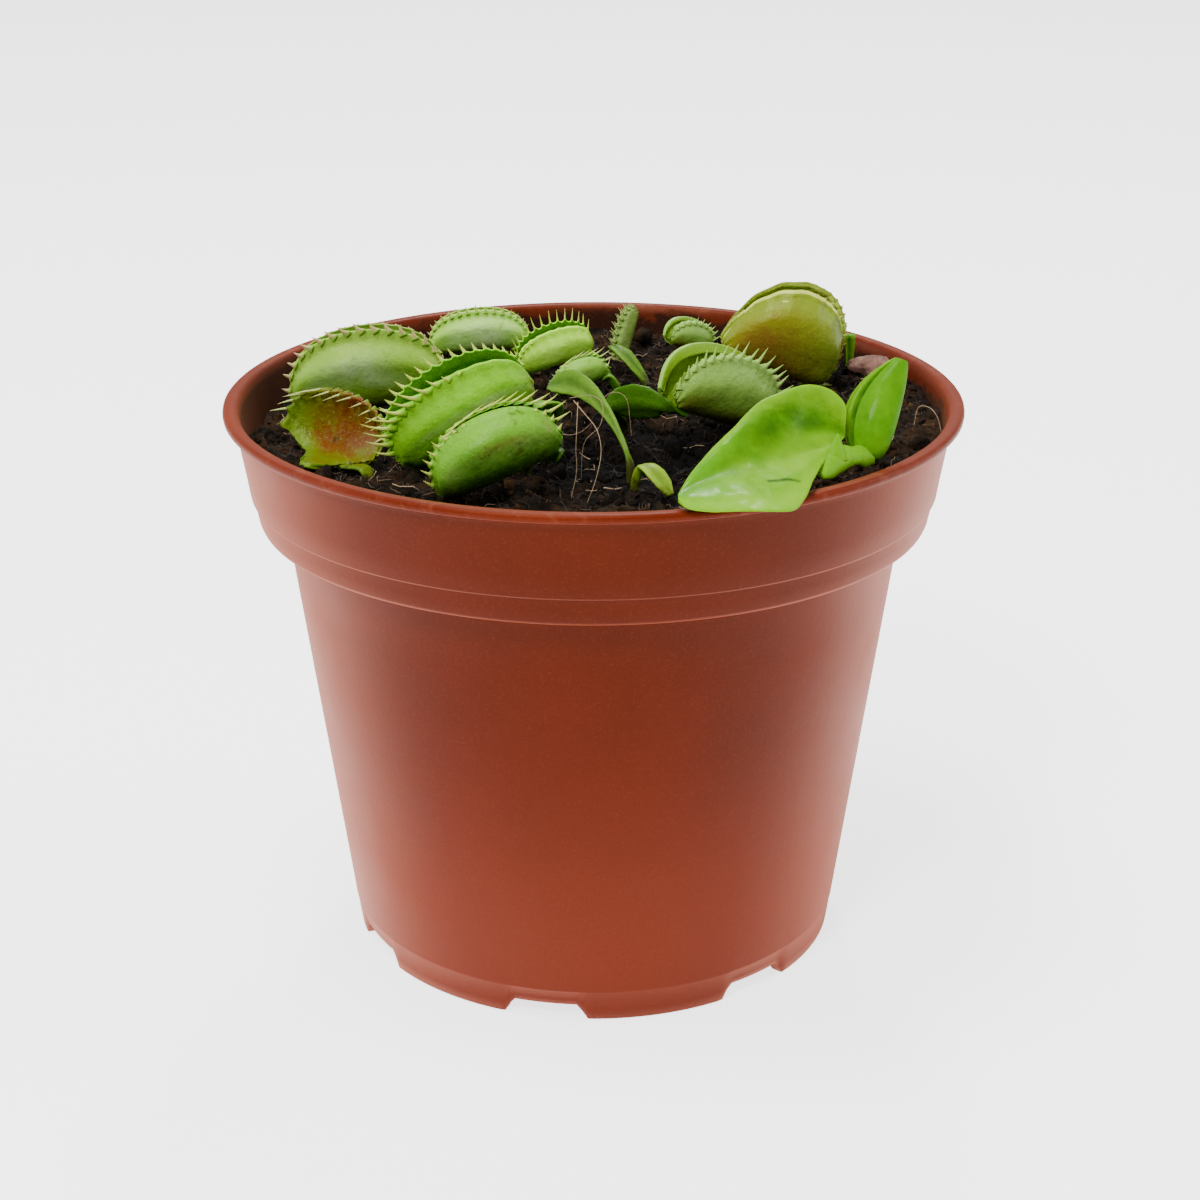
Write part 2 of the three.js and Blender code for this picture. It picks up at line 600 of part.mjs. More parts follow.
function soilGeometry(pressed, stems) {
  const floor = FLOOR_UNDERSIDE + FLOOR_THICKNESS + GAP;
  const clear = 0.45;
  const sideProfile = [
    [wallRadius(floor) - WALL - 1.2 - clear, floor],
    [wallRadius(floor + 1) - WALL - 0.4 - clear, floor + 1],
    [SHOULDER_RADIUS - WALL - 0.1 - clear, LEDGE.height - WALL + 0.3],
    [LEDGE.radius - WALL - 0.35 - clear, LEDGE.height + WALL + 0.4],
    [SEAM.radius - WALL - clear, SEAM.height + 0.1],
  ];
  const bearing = (i) => (2 * Math.PI * i) / SOIL_SIDES;
  const around = (radius, height) => Array.from({ length: SOIL_SIDES }, (_, i) => vec(
    radius * Math.cos(bearing(i)), radius * Math.sin(bearing(i)), height,
  ));
  const rings = sideProfile.map(([r, z]) => around(r, z));
  for (let j = 0; j < SOIL_RINGS; j += 1) {
    const share = 1 - j / SOIL_RINGS;
    rings.push(Array.from({ length: SOIL_SIDES }, (_, i) => {
      const [cos, sin] = [Math.cos(bearing(i)), Math.sin(bearing(i))];
      const edge = collarInside(SOIL_LEVEL - 1) - clear;
      const height = soilHeight(share * edge * cos, share * edge * sin, pressed, stems);
      const radius = share * Math.min(edge, collarInside(height) - clear);
      return vec(radius * cos, radius * sin, height);
    }));
  }
  const vertices = [...rings.flat(), vec(0, 0, soilHeight(0, 0, pressed, stems)),
    vec(0, 0, floor)];
  const top = vertices.length - 2;
  const base = vertices.length - 1;
  const triangles = [];
  for (let r = 0; r + 1 < rings.length; r += 1) {
    for (let i = 0; i < SOIL_SIDES; i += 1) {
      const j = (i + 1) % SOIL_SIDES;
      const low = r * SOIL_SIDES;
      const high = low + SOIL_SIDES;
      triangles.push([low + i, low + j, high + j], [low + i, high + j, high + i]);
    }
  }
  for (let i = 0; i < SOIL_SIDES; i += 1) {
    const j = (i + 1) % SOIL_SIDES;
    const high = (rings.length - 1) * SOIL_SIDES;
    triangles.push([base, j, i], [top, high + i, high + j]);
  }
  return closedGeometry(vertices, triangles);
}

// A plain round hole for one stalk, open at the top.
function stemHole([x, y]) {
  const radius = STALK_HALF_WIDTH + 0.8;
  const bottom = STALK_FOOT - GAP;
  const height = 10;
  const geometry = new THREE.CylinderGeometry(radius, radius, height, 7);
  geometry.rotateX(Math.PI / 2);
  geometry.translate(x, y, bottom + height / 2);
  return solid(welded(geometry));
}

// A rounded flake with its underside cut flat.
function barkChipGeometry() {
  const flake = new THREE.SphereGeometry(1, 10, 6);
  const place = flake.getAttribute('position');
  const underside = -0.55;
  for (let i = 0; i < place.count; i += 1) place.setY(i, Math.max(place.getY(i), underside) - underside);
  flake.rotateX(Math.PI / 2);
  flake.scale(...CHIP.half);
  flake.rotateZ(radians(CHIP.bearing));
  flake.translate(...CHIP.at);
  return welded(flake);
}

// Assembly

const finish = (colour, roughness) => new THREE.MeshStandardMaterial({
  color: colour, roughness, metalness: 0,
});
const materials = {
  pot: finish(0x9a4527, 0.5),
  soil: finish(0x2a211b, 0.95),
  leaf: finish(0x6da32c, 0.45),
  darkLeaf: finish(0x4f8a2a, 0.45),
  oliveLeaf: finish(0x8f9a45, 0.5),
  youngLeaf: finish(0x86b845, 0.45),
  bark: finish(0x8a6152, 0.8),
};

function buildPlant() {
  const group = new THREE.Group();
  const add = (name, geometry, material) => {
    const mesh = new THREE.Mesh(geometry, material);
    mesh.name = name;
    group.add(mesh);
  };
  const tones = {
    leaf_front: materials.darkLeaf, leaf_tall_right: materials.oliveLeaf,
    leaf_left_front: materials.oliveLeaf,
  };
  const solids = leaves.map((leaf) => [leaf.name, leafSolid(leaf)]);
  solids.push(...youngLeaves.map((leaf) => [leaf.name, youngLeafSolid(leaf)]));
  solids.push(['leaf_large_right', largeLeafSolid()]);
  const stems = [...leaves, ...youngLeaves, largeBlade].map(({ root }) => root);
  let soil = solid(soilGeometry(pressPoints(solids.map(([, body]) => body)), stems));
  for (const stem of stems) soil = soil.subtract(stemHole(stem));
  add('pot', potGeometry(), materials.pot);
  add('soil', geometryOf(soil), materials.soil);
  for (const [name, body] of solids) {
    const young = name.startsWith('young') ? materials.youngLeaf : materials.leaf;
    add(name, geometryOf(body), tones[name] ?? young);
  }
  add('bark_chip', barkChipGeometry(), materials.bark);
  return group;
}

export default buildPlant();
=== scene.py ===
"""Potted Venus flytrap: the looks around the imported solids.

Sizes are millimetres in the solids' own frame: +Z up, -Y toward the front of the pot, origin at
the centre of its foot. A mesh gets metres when it is made.
"""

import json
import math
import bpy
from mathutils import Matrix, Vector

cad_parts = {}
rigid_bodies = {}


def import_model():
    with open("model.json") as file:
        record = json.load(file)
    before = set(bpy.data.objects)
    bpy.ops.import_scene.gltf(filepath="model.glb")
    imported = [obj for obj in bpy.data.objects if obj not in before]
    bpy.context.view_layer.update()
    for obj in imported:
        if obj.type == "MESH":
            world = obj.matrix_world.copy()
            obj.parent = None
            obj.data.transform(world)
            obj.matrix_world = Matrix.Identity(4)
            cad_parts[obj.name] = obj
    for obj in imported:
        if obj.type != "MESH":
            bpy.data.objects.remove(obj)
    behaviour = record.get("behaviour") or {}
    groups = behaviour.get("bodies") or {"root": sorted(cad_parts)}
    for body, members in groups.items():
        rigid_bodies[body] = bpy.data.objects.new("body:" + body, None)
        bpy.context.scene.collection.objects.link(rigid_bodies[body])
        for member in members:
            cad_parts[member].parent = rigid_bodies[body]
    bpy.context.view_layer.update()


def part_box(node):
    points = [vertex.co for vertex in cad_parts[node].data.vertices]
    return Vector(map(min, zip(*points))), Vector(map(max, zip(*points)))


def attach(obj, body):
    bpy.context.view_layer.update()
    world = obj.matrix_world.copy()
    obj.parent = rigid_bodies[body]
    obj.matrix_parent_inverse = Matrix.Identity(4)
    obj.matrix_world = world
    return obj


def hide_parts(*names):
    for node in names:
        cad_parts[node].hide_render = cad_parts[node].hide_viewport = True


bl_info = {
    "name": "Potted Venus flytrap",
    "version": (1, 0, 0),
    "blender": (4, 5, 0),
    "location": "3D View > Sidebar > Flytrap",
    "description": "Builds a Venus flytrap in a nursery pot from surfaces worked out with numpy",
    "category": "Add Mesh",
}

import bpy
import numpy as np
from bpy.props import FloatProperty, FloatVectorProperty, IntProperty, PointerProperty
from mathutils import Vector

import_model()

MM = 0.001
TURN = 2 * math.pi
RIM_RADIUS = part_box("pot")[1].x / MM
POT_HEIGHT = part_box("pot")[1].z / MM
SOIL_LEVEL = 64.4
LEAF_THICKNESS = 0.7
STALK_FOOT = 59.0


# Numbers and arrays


def smoothstep(value, low, high):
    """0 below low and 1 above high, with 3t^2 - 2t^3 between them."""
    t = np.clip((np.asarray(value, float) - low) / (high - low), 0, 1)
    return t * t * (3 - 2 * t)


def bell(value, width, power=2):
    """exp(-(value / width)^power): 1 at 0 and almost none past twice the width."""
    return np.exp(-((value / width) ** power))


def unit(vectors):
    """Vectors divided by their own lengths."""
    length = np.linalg.norm(vectors, axis=-1, keepdims=True)
    return vectors / np.maximum(length, 1e-9)


def around(count):
    """Angles at even steps round a full turn."""
    return np.arange(count) * TURN / count


def spin(points, turn):
    """Points turned about Z."""
    x, y, z = np.moveaxis(points, -1, 0)
    return np.stack([x * math.cos(turn) - y * math.sin(turn),
                     x * math.sin(turn) + y * math.cos(turn), z], -1)


def waves(seed, places, size, count=14):
    """A smooth random field of about -1 to 1: the mean of sines that run in random directions,
    with a wavelength near size."""
    rng = np.random.default_rng(seed)
    total = np.zeros(places.shape[:-1])
    for _ in range(count):
        way = unit(rng.normal(size=places.shape[-1]))
        length = size * rng.uniform(0.6, 1.6)
        total += np.sin(TURN * (places @ way) / length + rng.uniform(0, TURN))
    return total * 2 / count


def smooth_path(points, per_span):
    """A centripetal Catmull-Rom curve through the points: between two of them it is the cubic
    whose end slopes come from the neighbours, spaced by the square root of their distance.
    Columns after the third are carried along in straight lines. Returns rows and tangents."""
    points = np.asarray(points, float)
    places = points[:, :3]
    padded = np.vstack([2 * places[0] - places[1], places, 2 * places[-1] - places[-2]])
    p0, p1, p2, p3 = padded[:-3], padded[1:-2], padded[2:-1], padded[3:]
    gap = [np.linalg.norm(q - p, axis=1, keepdims=True) ** 0.5
           for p, q in ((p0, p1), (p1, p2), (p2, p3))]
    slope_in = (p1 - p0) / gap[0] - (p2 - p0) / (gap[0] + gap[1]) + (p2 - p1) / gap[1]
    slope_out = (p2 - p1) / gap[1] - (p3 - p1) / (gap[1] + gap[2]) + (p3 - p2) / gap[2]
    slope_in, slope_out = slope_in * gap[1], slope_out * gap[1]
    spans = len(points) - 1
    at = np.linspace(0, spans, spans * per_span + 1)
    low = np.minimum(at.astype(int), spans - 1)
    t = (at - low)[:, None]
    c2 = -3 * p1 + 3 * p2 - 2 * slope_in - slope_out
    c3 = 2 * p1 - 2 * p2 + slope_in + slope_out
    curve = p1[low] + slope_in[low] * t + c2[low] * t**2 + c3[low] * t**3
    tangent = unit(slope_in[low] + 2 * c2[low] * t + 3 * c3[low] * t**2)
    others = points[low, 3:] * (1 - t) + points[low + 1, 3:] * t
    return np.hstack([curve, others]), tangent


def sections(centre, side, up, x, y):
    """One section for each place of a path: x along side and y along up from its centre."""
    return centre[:, None, :3] + side[:, None] * x[..., None] + up[:, None] * y[..., None]


# Meshes


def show(name, data):
    """A new object in the scene."""
    made = bpy.data.objects.new(name, data)
    bpy.context.scene.collection.objects.link(made)
    return made


class Surface:
    """Vertices, quads, triangles and named vertex values, gathered before they become a mesh."""

    def __init__(self):
        self.vertices, self.quads, self.triangles, self.values, self.uv = [], [], [], [], []
        self.count = 0

    def add(self, vertices, quads, triangles=(), uv=None, **values):
        """Adds a patch. values are arrays or numbers for each vertex, such as margin or tooth."""
        vertices = np.asarray(vertices, float).reshape(-1, 3)
        size = len(vertices)
        self.vertices.append(vertices)
        self.quads.append(np.asarray(quads, int).reshape(-1, 4) + self.count)
        self.triangles.append(np.asarray(triangles, int).reshape(-1, 3) + self.count)
        self.uv.append(np.zeros((size, 2)) if uv is None else uv.reshape(-1, 2))
        self.values.append({key: np.broadcast_to(np.asarray(value, float).reshape(-1), size)
                            for key, value in values.items()})
        self.count += size

    def piece(self, name, material, slot, replaces=()):
        """Makes the object, in metres, smooth-shaded, riding on the body."""
        quads, triangles = np.vstack(self.quads), np.vstack(self.triangles)
        loops = np.concatenate([quads.ravel(), triangles.ravel()]).astype(np.int32)
        totals = np.concatenate([np.full(len(quads), 4), np.full(len(triangles), 3)])
        starts = np.concatenate([[0], np.cumsum(totals)[:-1]]).astype(np.int32)
        mesh = bpy.data.meshes.new(name)
        mesh.vertices.add(self.count)
        places = np.vstack(self.vertices) * MM
        mesh.vertices.foreach_set("co", places.astype(np.float32).ravel())
        mesh.loops.add(len(loops))
        mesh.loops.foreach_set("vertex_index", loops)
        mesh.polygons.add(len(totals))
        mesh.polygons.foreach_set("loop_start", starts)
        mesh.update(calc_edges=True)
        mesh.validate()
        mesh.polygons.foreach_set("use_smooth", np.ones(len(mesh.polygons), bool))
        order = np.zeros(len(mesh.loops), np.int32)
        mesh.loops.foreach_get("vertex_index", order)
        layer = mesh.uv_layers.new(name="UVMap")
        layer.data.foreach_set("uv", np.vstack(self.uv)[order].astype(np.float32).ravel())
        for key in sorted({k for values in self.values for k in values}):
            column = np.concatenate([values.get(key, np.zeros(len(patch)))
                                     for values, patch in zip(self.values, self.vertices)])
            layer = mesh.attributes.new(key, "FLOAT", "POINT")
            layer.data.foreach_set("value", column.astype(np.float32))
        mesh.materials.append(material)
        piece = show(name, mesh)
        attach(piece, "root")
        if replaces:
            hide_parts(*replaces)
        return piece


def grid_quads(rows, columns):
    """Quads between neighbouring rows of a grid, joined round from the last column."""
    i, j = np.meshgrid(np.arange(rows - 1), np.arange(columns), indexing="ij")
    k = (j + 1) % columns
    low, high = i * columns, (i + 1) * columns
    return np.stack([low + j, low + k, high + k, high + j], -1).reshape(-1, 4)


def inside_out(vertices, quads, triangles=()):
    """Whether the closed shell of these faces has a negative volume, for each set of vertices."""
    triangles = np.asarray(triangles, int).reshape(-1, 3)
    parts = np.vstack([quads[:, [0, 1, 2]], quads[:, [0, 2, 3]], triangles])
    a, b, c = (vertices[:, parts[:, k]] - vertices.mean(1, keepdims=True) for k in range(3))
    return np.einsum("nij,nij->n", a, np.cross(b, c)) < 0


def tubes(surface, rings, mapped=False, **values):
    """Closed skins, shaped tube by ring by corner by 3: quads between the rings and a fan over
    each end. A value fits tube by ring by corner. mapped adds a UV along and round each tube."""
    many, rows, count = rings.shape[:3]
    ends = np.stack([rings[:, 0].mean(1), rings[:, -1].mean(1)], 1)
    vertices = np.concatenate([rings.reshape(many, rows * count, 3), ends], 1)
    quads = grid_quads(rows, count)
    k = np.arange(count)
    following = (k + 1) % count
    last = (rows - 1) * count
    first_end = np.full(count, rows * count)
    fans = np.vstack([np.stack([first_end, following, k], 1),
                      np.stack([first_end + 1, last + k, last + following], 1)])
    turned = inside_out(vertices, quads, fans)[:, None, None]
    shift = (np.arange(many) * vertices.shape[1])[:, None, None]
    quads, fans = (np.where(turned, part[:, ::-1], part) + shift for part in (quads, fans))
    full = {}
    for key, value in values.items():
        inner = np.broadcast_to(np.asarray(value, float), (many, rows, count))
        caps = np.stack([inner[:, 0].mean(1), inner[:, -1].mean(1)], 1)
        full[key] = np.concatenate([inner.reshape(many, rows * count), caps], 1)
    uv = None
    if mapped:
        u, v = np.meshgrid(np.linspace(0, 1, rows), np.linspace(0, 1, count), indexing="ij")
        uv = np.vstack([np.stack([u, v], -1).reshape(-1, 2), [[0, 0.5], [1, 0.5]]])
        uv = np.tile(uv, (many, 1))
    surface.add(vertices, quads, fans, uv, **full)


def tube(surface, rings, **values):
    """One closed skin, shaped ring by corner by 3, with a UV."""
    tubes(surface, rings[None], mapped=True, **values)


# Traps and stalks

# The share of a quarter turn that a trap's ends reach
END_SHARE = 0.95

# Where flare, pleats and the skin between the teeth begin, from the rib at 0 to the margin at 1
FLARE_FROM, PLEATS_FROM, WEB_FROM = 0.75, 0.6, 0.84

# A tooth's corners and sizes, and the share of its length that the skin is drawn out
TOOTH_RINGS, TOOTH_SIDES = 9, 7
TOOTH_FOOT, TOOTH_MOST_THICK, SHORTEST_TOOTH = 0.2, 0.2, 0.25
STEPS_PER_TOOTH = 8
WEB_SHARE, RIM_STANDS_OUT = 0.24, 0.14

# A lobe's relief, for a trap of the plain length: places on the lobe, and heights in mm
PLAIN_LENGTH = 18
RIDGE_AT, RIDGE_HEIGHT = 0.66, 0.24
BAND_AT, BAND_DEPTH = 0.86, 0.22
FOLD_WIDTH = 0.1
DENT_HEIGHT, CREASE_HEIGHT = 0.13, 0.12
INSIDE_AT_RIM = 0.3

# A stalk's corners, its round rib, and its first two stations: one at a share of the trap's
# half rib, and one just past the rib's end
STALK_SIDES, STALK_STEPS = 20, 7
STALK_RIB_WIDTH, STALK_RIB_BELOW, STALK_RIB_ABOVE = 0.5, 0.32, 0.05
STALK_FROM, STALK_FROM_WIDTH = 0.72, 0.8
SHOULDER_OUT, SHOULDER_WIDTH = 0.6, 1.1
STALK_HALF_WIDTH, YOUNG_HALF_WIDTH, YOUNG_FOLD = 0.9, 0.5, 0.3
STALK_OVER_SOIL = 0.4

TOOTH_SEED, LOBE_SEED, PEAT_SEED = 100, 200, 7


def trap_axes(trap):
    """The trap's axes: a along the rib, b toward the opening, c toward the near lobe."""
    h, r, q = (math.radians(trap[key]) for key in ("heading", "rise", "roll"))
    a = np.array([math.cos(r) * math.cos(h), math.cos(r) * math.sin(h), math.sin(r)])
    up = unit(np.array([0, 0, 1.0]) - a * a[2])
    out = np.cross(a, up)
    b = up * math.cos(q) + out * math.sin(q)
    c = out * math.cos(q) - up * math.sin(q)
    return a, b, c


def trap_points(trap, s, w):
    """The folded lobes. s runs along the rib from -1 to 1 and w across it, from the far margin
    at -1 over the rib at 0 to the near margin at 1. With t = |w| and f the angle that a lobe
    swings through, the height is width (1 - cos f t) / (1 - cos f) and the bulge is
    bulge sin f t, both shrunk toward the ends by powers of cos of the turn along the rib. A
    lobe's half length grows from the rib's share of it to the lobe's own span at the margin.
    The pleats move both margins sideways by the sine of their number times pi s."""
    a, b, c = trap_axes(trap)
    s, w = np.broadcast_arrays(np.asarray(s, float), np.asarray(w, float))
    t = np.abs(w)
    near = w >= 0
    turn = math.pi / 2 * s * END_SHARE
    along, cos = np.sin(turn), np.cos(turn)
    full = math.radians(trap["close"])
    height = (1 - np.cos(full * t)) / (1 - math.cos(full))
    reach_share, bulge_share, span = np.moveaxis(
        np.where(near[..., None], trap["near"], trap["far"]), -1, 0)
    reach = trap["width"] * reach_share * height * cos ** trap["square"]
    flare = trap["flare"] * np.maximum(0, (t - FLARE_FROM) / (1 - FLARE_FROM)) ** 2 * cos**0.3
    bulge = trap["bulge"] * bulge_share * np.sin(full * t) * cos**0.55
    fan = (span - trap["rib"]) * (1 - (1 - t) ** trap["fan"])
    length = trap["length"] / 2 * along * (trap["rib"] + fan)
    spread = np.where(near, 1, -1) * (bulge + flare + trap["gape"] * t * cos**0.4)
    pleats = np.sin(math.pi * trap["pleats"] * s) * smoothstep(t, PLEATS_FROM, 1) * cos**0.5
    spread = spread + trap["pleat"] * pleats
    return (np.array(trap["at"]) + a * (length + trap["lean"] * reach)[..., None]
            + b * reach[..., None] + c * spread[..., None])


def tooth_ways(trap, s, side):
    """Directions of the teeth: a lean in the trap's own axes, fanned out toward the two ends."""
    a, b, c = trap_axes(trap)
    lean = trap["near_teeth"] if side > 0 else trap["far_teeth"]
    turn = math.pi / 2 * s[..., None] * END_SHARE
    return unit(a * (lean[0] + lean[3] * np.sin(turn)) + b * lean[1] + c * side * lean[2])


def tooth_lengths(trap, s, side):
    """Lengths of the teeth: the trap's own, times shares set at even steps along the margin."""
    row = trap["near_row"] if side > 0 else trap["far_row"]
    return trap["tooth"] * np.interp(s, np.linspace(-1, 1, len(row)), row)


def tooth_web(trap, s, side):
    """Skin drawn out between the teeth: 1 at a tooth and 0 halfway to the next, as the square
    of a straight rise, which leaves round bays. The far teeth stand between the near ones."""
    phase = (s + 1) / 2 * trap["spikes"] + (0 if side > 0 else 0.5)
    return (1 - np.abs(2 * (phase % 1) - 1)) ** 2


def add_teeth(surface, trap, side, rng):
    """Curved spikes on one margin. A spike's ring at height v is an ellipse of radius
    (1 - v)^0.8 times its root's, wider at the foot, and its middle is carried along the way
    and lifted by bend v^2."""
    count = trap["spikes"]
    s = -1 + 2 * (np.arange(count) + 0.5 if side > 0 else np.arange(1, count)) / count
    length = tooth_lengths(trap, s, side) * rng.uniform(0.88, 1.1, len(s))
    s, length = s[length > SHORTEST_TOOTH], length[length > SHORTEST_TOOTH]
    root = trap_points(trap, s, float(side))
    below = trap_points(trap, s, side * 0.93)
    along = unit(trap_points(trap, s + 0.01, float(side)) - root)
    way = unit(tooth_ways(trap, s, side) + rng.normal(0, 0.05, (len(s), 3)))
    inward = unit(below - root)
    v = np.linspace(-0.1, 1, TOOTH_RINGS)
    centre = (root + inward * TOOTH_FOOT)[:, None]
    centre = centre + way[:, None] * (v[:, None] * length[:, None, None])
    centre[..., 2] += trap["tooth_bend"] * length[:, None] * np.maximum(v, 0) ** 2
    flat = unit(np.cross(way, along))
    wide = unit(np.cross(flat, way))
    taper = np.maximum(1 - np.maximum(v, 0), 0.02) ** 0.8
    phi = around(TOOTH_SIDES)
    base = trap["tooth_base"] * (1 + 0.9 * bell(v + 0.05, 0.12)) * taper
    thick = min(trap["tooth_base"], TOOTH_MOST_THICK) * taper
    rim = (wide[:, None, None] * (np.cos(phi) * base[:, None])[None, ..., None]
           + flat[:, None, None] * (np.sin(phi) * thick[:, None])[None, ..., None])
    tone = np.clip(v, 0, 1)[:, None]
    tubes(surface, centre[:, :, None] + rim, mapped=True, tooth=tone, margin=1.0, inside=0.0)


def spots(s, w, rows):
    """Soft patches on the lobes: bells in s and w of given centre, widths and amount, added."""
    total = np.zeros(np.broadcast(s, w).shape)
    for s0, w0, ds, dw, amount in rows:
        total = total + amount * np.exp(-(((s - s0) / ds) ** 2) - ((w - w0) / dw) ** 2)
    return np.clip(total, 0, 1)


def add_lobes(surface, trap, seed):
    """Both lobes as one shell: the outer skin with a ridge below the hollow margin band, small
    dents and creases, a rim drawn out at the teeth, and the inner skin, set toward the middle
    between the margins by the leaf's thickness."""
    stations = STEPS_PER_TOOTH * trap["spikes"] + 1
    s = np.linspace(-1, 1, stations)[:, None]
    half = np.sin(np.linspace(0, 1, trap["across"]) * math.pi / 2)
    w = np.concatenate([-half[::-1], half[1:]])[None, :]
    skin = trap_points(trap, s, w)
    t = np.broadcast_to(np.abs(w), skin.shape[:2])
    inward = (skin[:, :1] + skin[:, -1:]) / 2 - skin
    distance = np.linalg.norm(inward, axis=-1, keepdims=True)
    inward = inward / np.maximum(distance, 1e-6)
    normal = unit(np.cross(np.gradient(skin, axis=1), np.gradient(skin, axis=0)))
    sign = np.sign(np.sum(normal * -inward, axis=-1, keepdims=True))
    normal = normal * np.where(sign == 0, 1, sign)
    size = trap["length"] / PLAIN_LENGTH
    round_share = np.cos(math.pi / 2 * s * END_SHARE)
    dents = DENT_HEIGHT * size * waves(seed, skin, trap["length"] * 0.35) * np.sin(math.pi * t)
    creases = np.abs(s) ** 8 * np.sin(t * 24 + 2 * waves(seed + 1, skin, 3)) * (t > 0.05)
    creases = CREASE_HEIGHT * size * creases
    fold = RIDGE_HEIGHT * bell(t - RIDGE_AT, FOLD_WIDTH) - BAND_DEPTH * bell(t - BAND_AT, FOLD_WIDTH)
    swollen_lip = trap["lip"] * smoothstep(t, 0.9, 0.97)
    relief = dents + creases + trap["ridge"] * size * round_share * fold + swollen_lip
    skin = skin + normal * relief[..., None]
    pad = trap["pad"] * np.sin(math.pi * t) ** 0.7 * round_share * (w < 0)
    depth = LEAF_THICKNESS * (1 - 0.35 * t) + pad + swollen_lip
    depth = np.minimum(depth[..., None], distance * 0.7)
    inner = skin + inward * depth
    rims = []
    for k, side in ((0, -1), (-1, 1)):
        line = s[:, 0]
        draw = WEB_SHARE * tooth_lengths(trap, line, side) * tooth_web(trap, line, side)
        pull = tooth_ways(trap, line, side) * draw[:, None]
        edge = smoothstep(side * w[0], WEB_FROM, 1)[None, :, None]
        skin = skin + pull[:, None] * edge
        inner = inner + pull[:, None] * edge
        outer_way = unit(skin[:, k] - skin[:, k - side])
        rims.append((skin[:, k] + inner[:, k]) / 2 + outer_way * RIM_STANDS_OUT)
    ring = np.concatenate([skin, rims[1][:, None], inner[:, ::-1], rims[0][:, None]], axis=1)
    one = np.ones((stations, 1))
    margin = np.concatenate([t, one, t[:, ::-1], one], 1)
    inside = np.concatenate([0 * t, INSIDE_AT_RIM * one, 0 * t + 1, INSIDE_AT_RIM * one], 1)
    flat_w = np.broadcast_to(w, t.shape)
    lobe = np.concatenate([flat_w, one, flat_w[:, ::-1], -one], 1)
    rows, count = ring.shape[:2]
    outer_index = np.arange(skin.shape[1])
    inner_index = count - 2 - outer_index
    cap = np.stack([outer_index[:-1], outer_index[1:], inner_index[1:], inner_index[:-1]], 1)
    quads = np.vstack([grid_quads(rows, count), cap, cap[:, ::-1] + (rows - 1) * count])
    if inside_out(ring.reshape(1, -1, 3), quads)[0]:
        quads = quads[:, ::-1]
    uv = np.stack([np.broadcast_to((s + 1) / 2, margin.shape), (lobe + 1) / 2], -1)
    surface.add(ring, quads, (), uv, margin=margin, inside=inside, tooth=0.0,
                blush=spots(s, lobe, trap["blush"]), bloom=spots(s, lobe, trap["bloom"]))


def add_stalk(surface, path, fold=0.2, deep=0.3):
    """A winged stalk along a path of x, y, z, half width and turn. Its section at angle p is
    width cos p across and half a leaf's thickness times sin p up, with wings that rise by
    fold of their width and a round rib below."""
    path = [tuple(row) + (0.0,) * (5 - len(row)) for row in path]
    rows, tangent = smooth_path(path, STALK_STEPS)
    chord = rows[-1, :3] - rows[0, :3]
    chord[2] = 0
    across = np.cross(unit(chord), [0, 0, 1.0])
    side = unit(across - tangent * (tangent @ across)[:, None])
    turn = np.radians(rows[:, 4])[:, None]
    lift = np.cross(side, tangent)
    side = side * np.cos(turn) - lift * np.sin(turn)
    up = unit(np.cross(side, tangent))
    p = around(STALK_SIDES)
    x = rows[:, 3][:, None] * np.cos(p)
    y = fold * np.abs(x) + LEAF_THICKNESS / 2 * np.sin(p)
    y = y - np.where(np.sin(p) < 0, STALK_RIB_BELOW, -STALK_RIB_ABOVE) * bell(x, STALK_RIB_WIDTH)
    tube(surface, sections(rows, side, up, x, y), margin=np.abs(np.cos(p)) * 0.6, inside=0.0,
         tooth=0.0, deep=deep)


def buried_end(root, width=STALK_HALF_WIDTH):
    """The last two stations of a stalk: just over the soil, and its foot in the soil."""
    x, y = root
    return [(x, y, SOIL_LEVEL + STALK_OVER_SOIL, width), (x, y, STALK_FOOT, width)]


def trap_of(base, scale=1.0, **values):
    """A trap's numbers, from another trap's at a scale, with some of them set anew."""
    trap = dict(base)
    for key in ("length", "width", "bulge", "gape", "flare", "tooth"):
        trap[key] = trap[key] * scale
    trap.update(values)
    if "near_teeth" in values and "far_teeth" not in values:
        trap["far_teeth"] = values["near_teeth"]
    return trap


# near and far: a lobe's shares of width and bulge, and its span. near_teeth and far_teeth: the
# lean along a, b and c, and the fanning. near_row and far_row: shares of the tooth's length.
# blush and bloom: centre in s and w, widths in s and w, amount. The bloom spots are pale bloom
# and also painted highlights and painted light
PLAIN_TRAP = {
    "at": (0, 0, 0), "heading": 0, "rise": 0, "roll": 0, "length": 18, "width": 9, "bulge": 3.5,
    "close": 145, "flare": 0.5, "gape": 0.0, "lean": 0.0, "square": 0.6, "rib": 0.72, "fan": 1.6,
    "near": (1.0, 1.0, 1.0), "far": (1.0, 1.0, 1.0), "pleat": 0.0, "pleats": 9, "across": 36,
    "spikes": 18, "tooth": 2.0, "tooth_base": 0.2, "tooth_bend": 0.12,
    "near_teeth": (0, 1, 0, 0.8), "far_teeth": (0, 1, 0, 0.8),
    "near_row": (0.6, 0.9, 1, 0.9, 0.6), "far_row": (0.6, 0.9, 1, 0.9, 0.6),
    "blush": [], "bloom": [], "ridge": 1.0, "lip": 0.0, "pad": 0.0, "deep": 0.3,
}
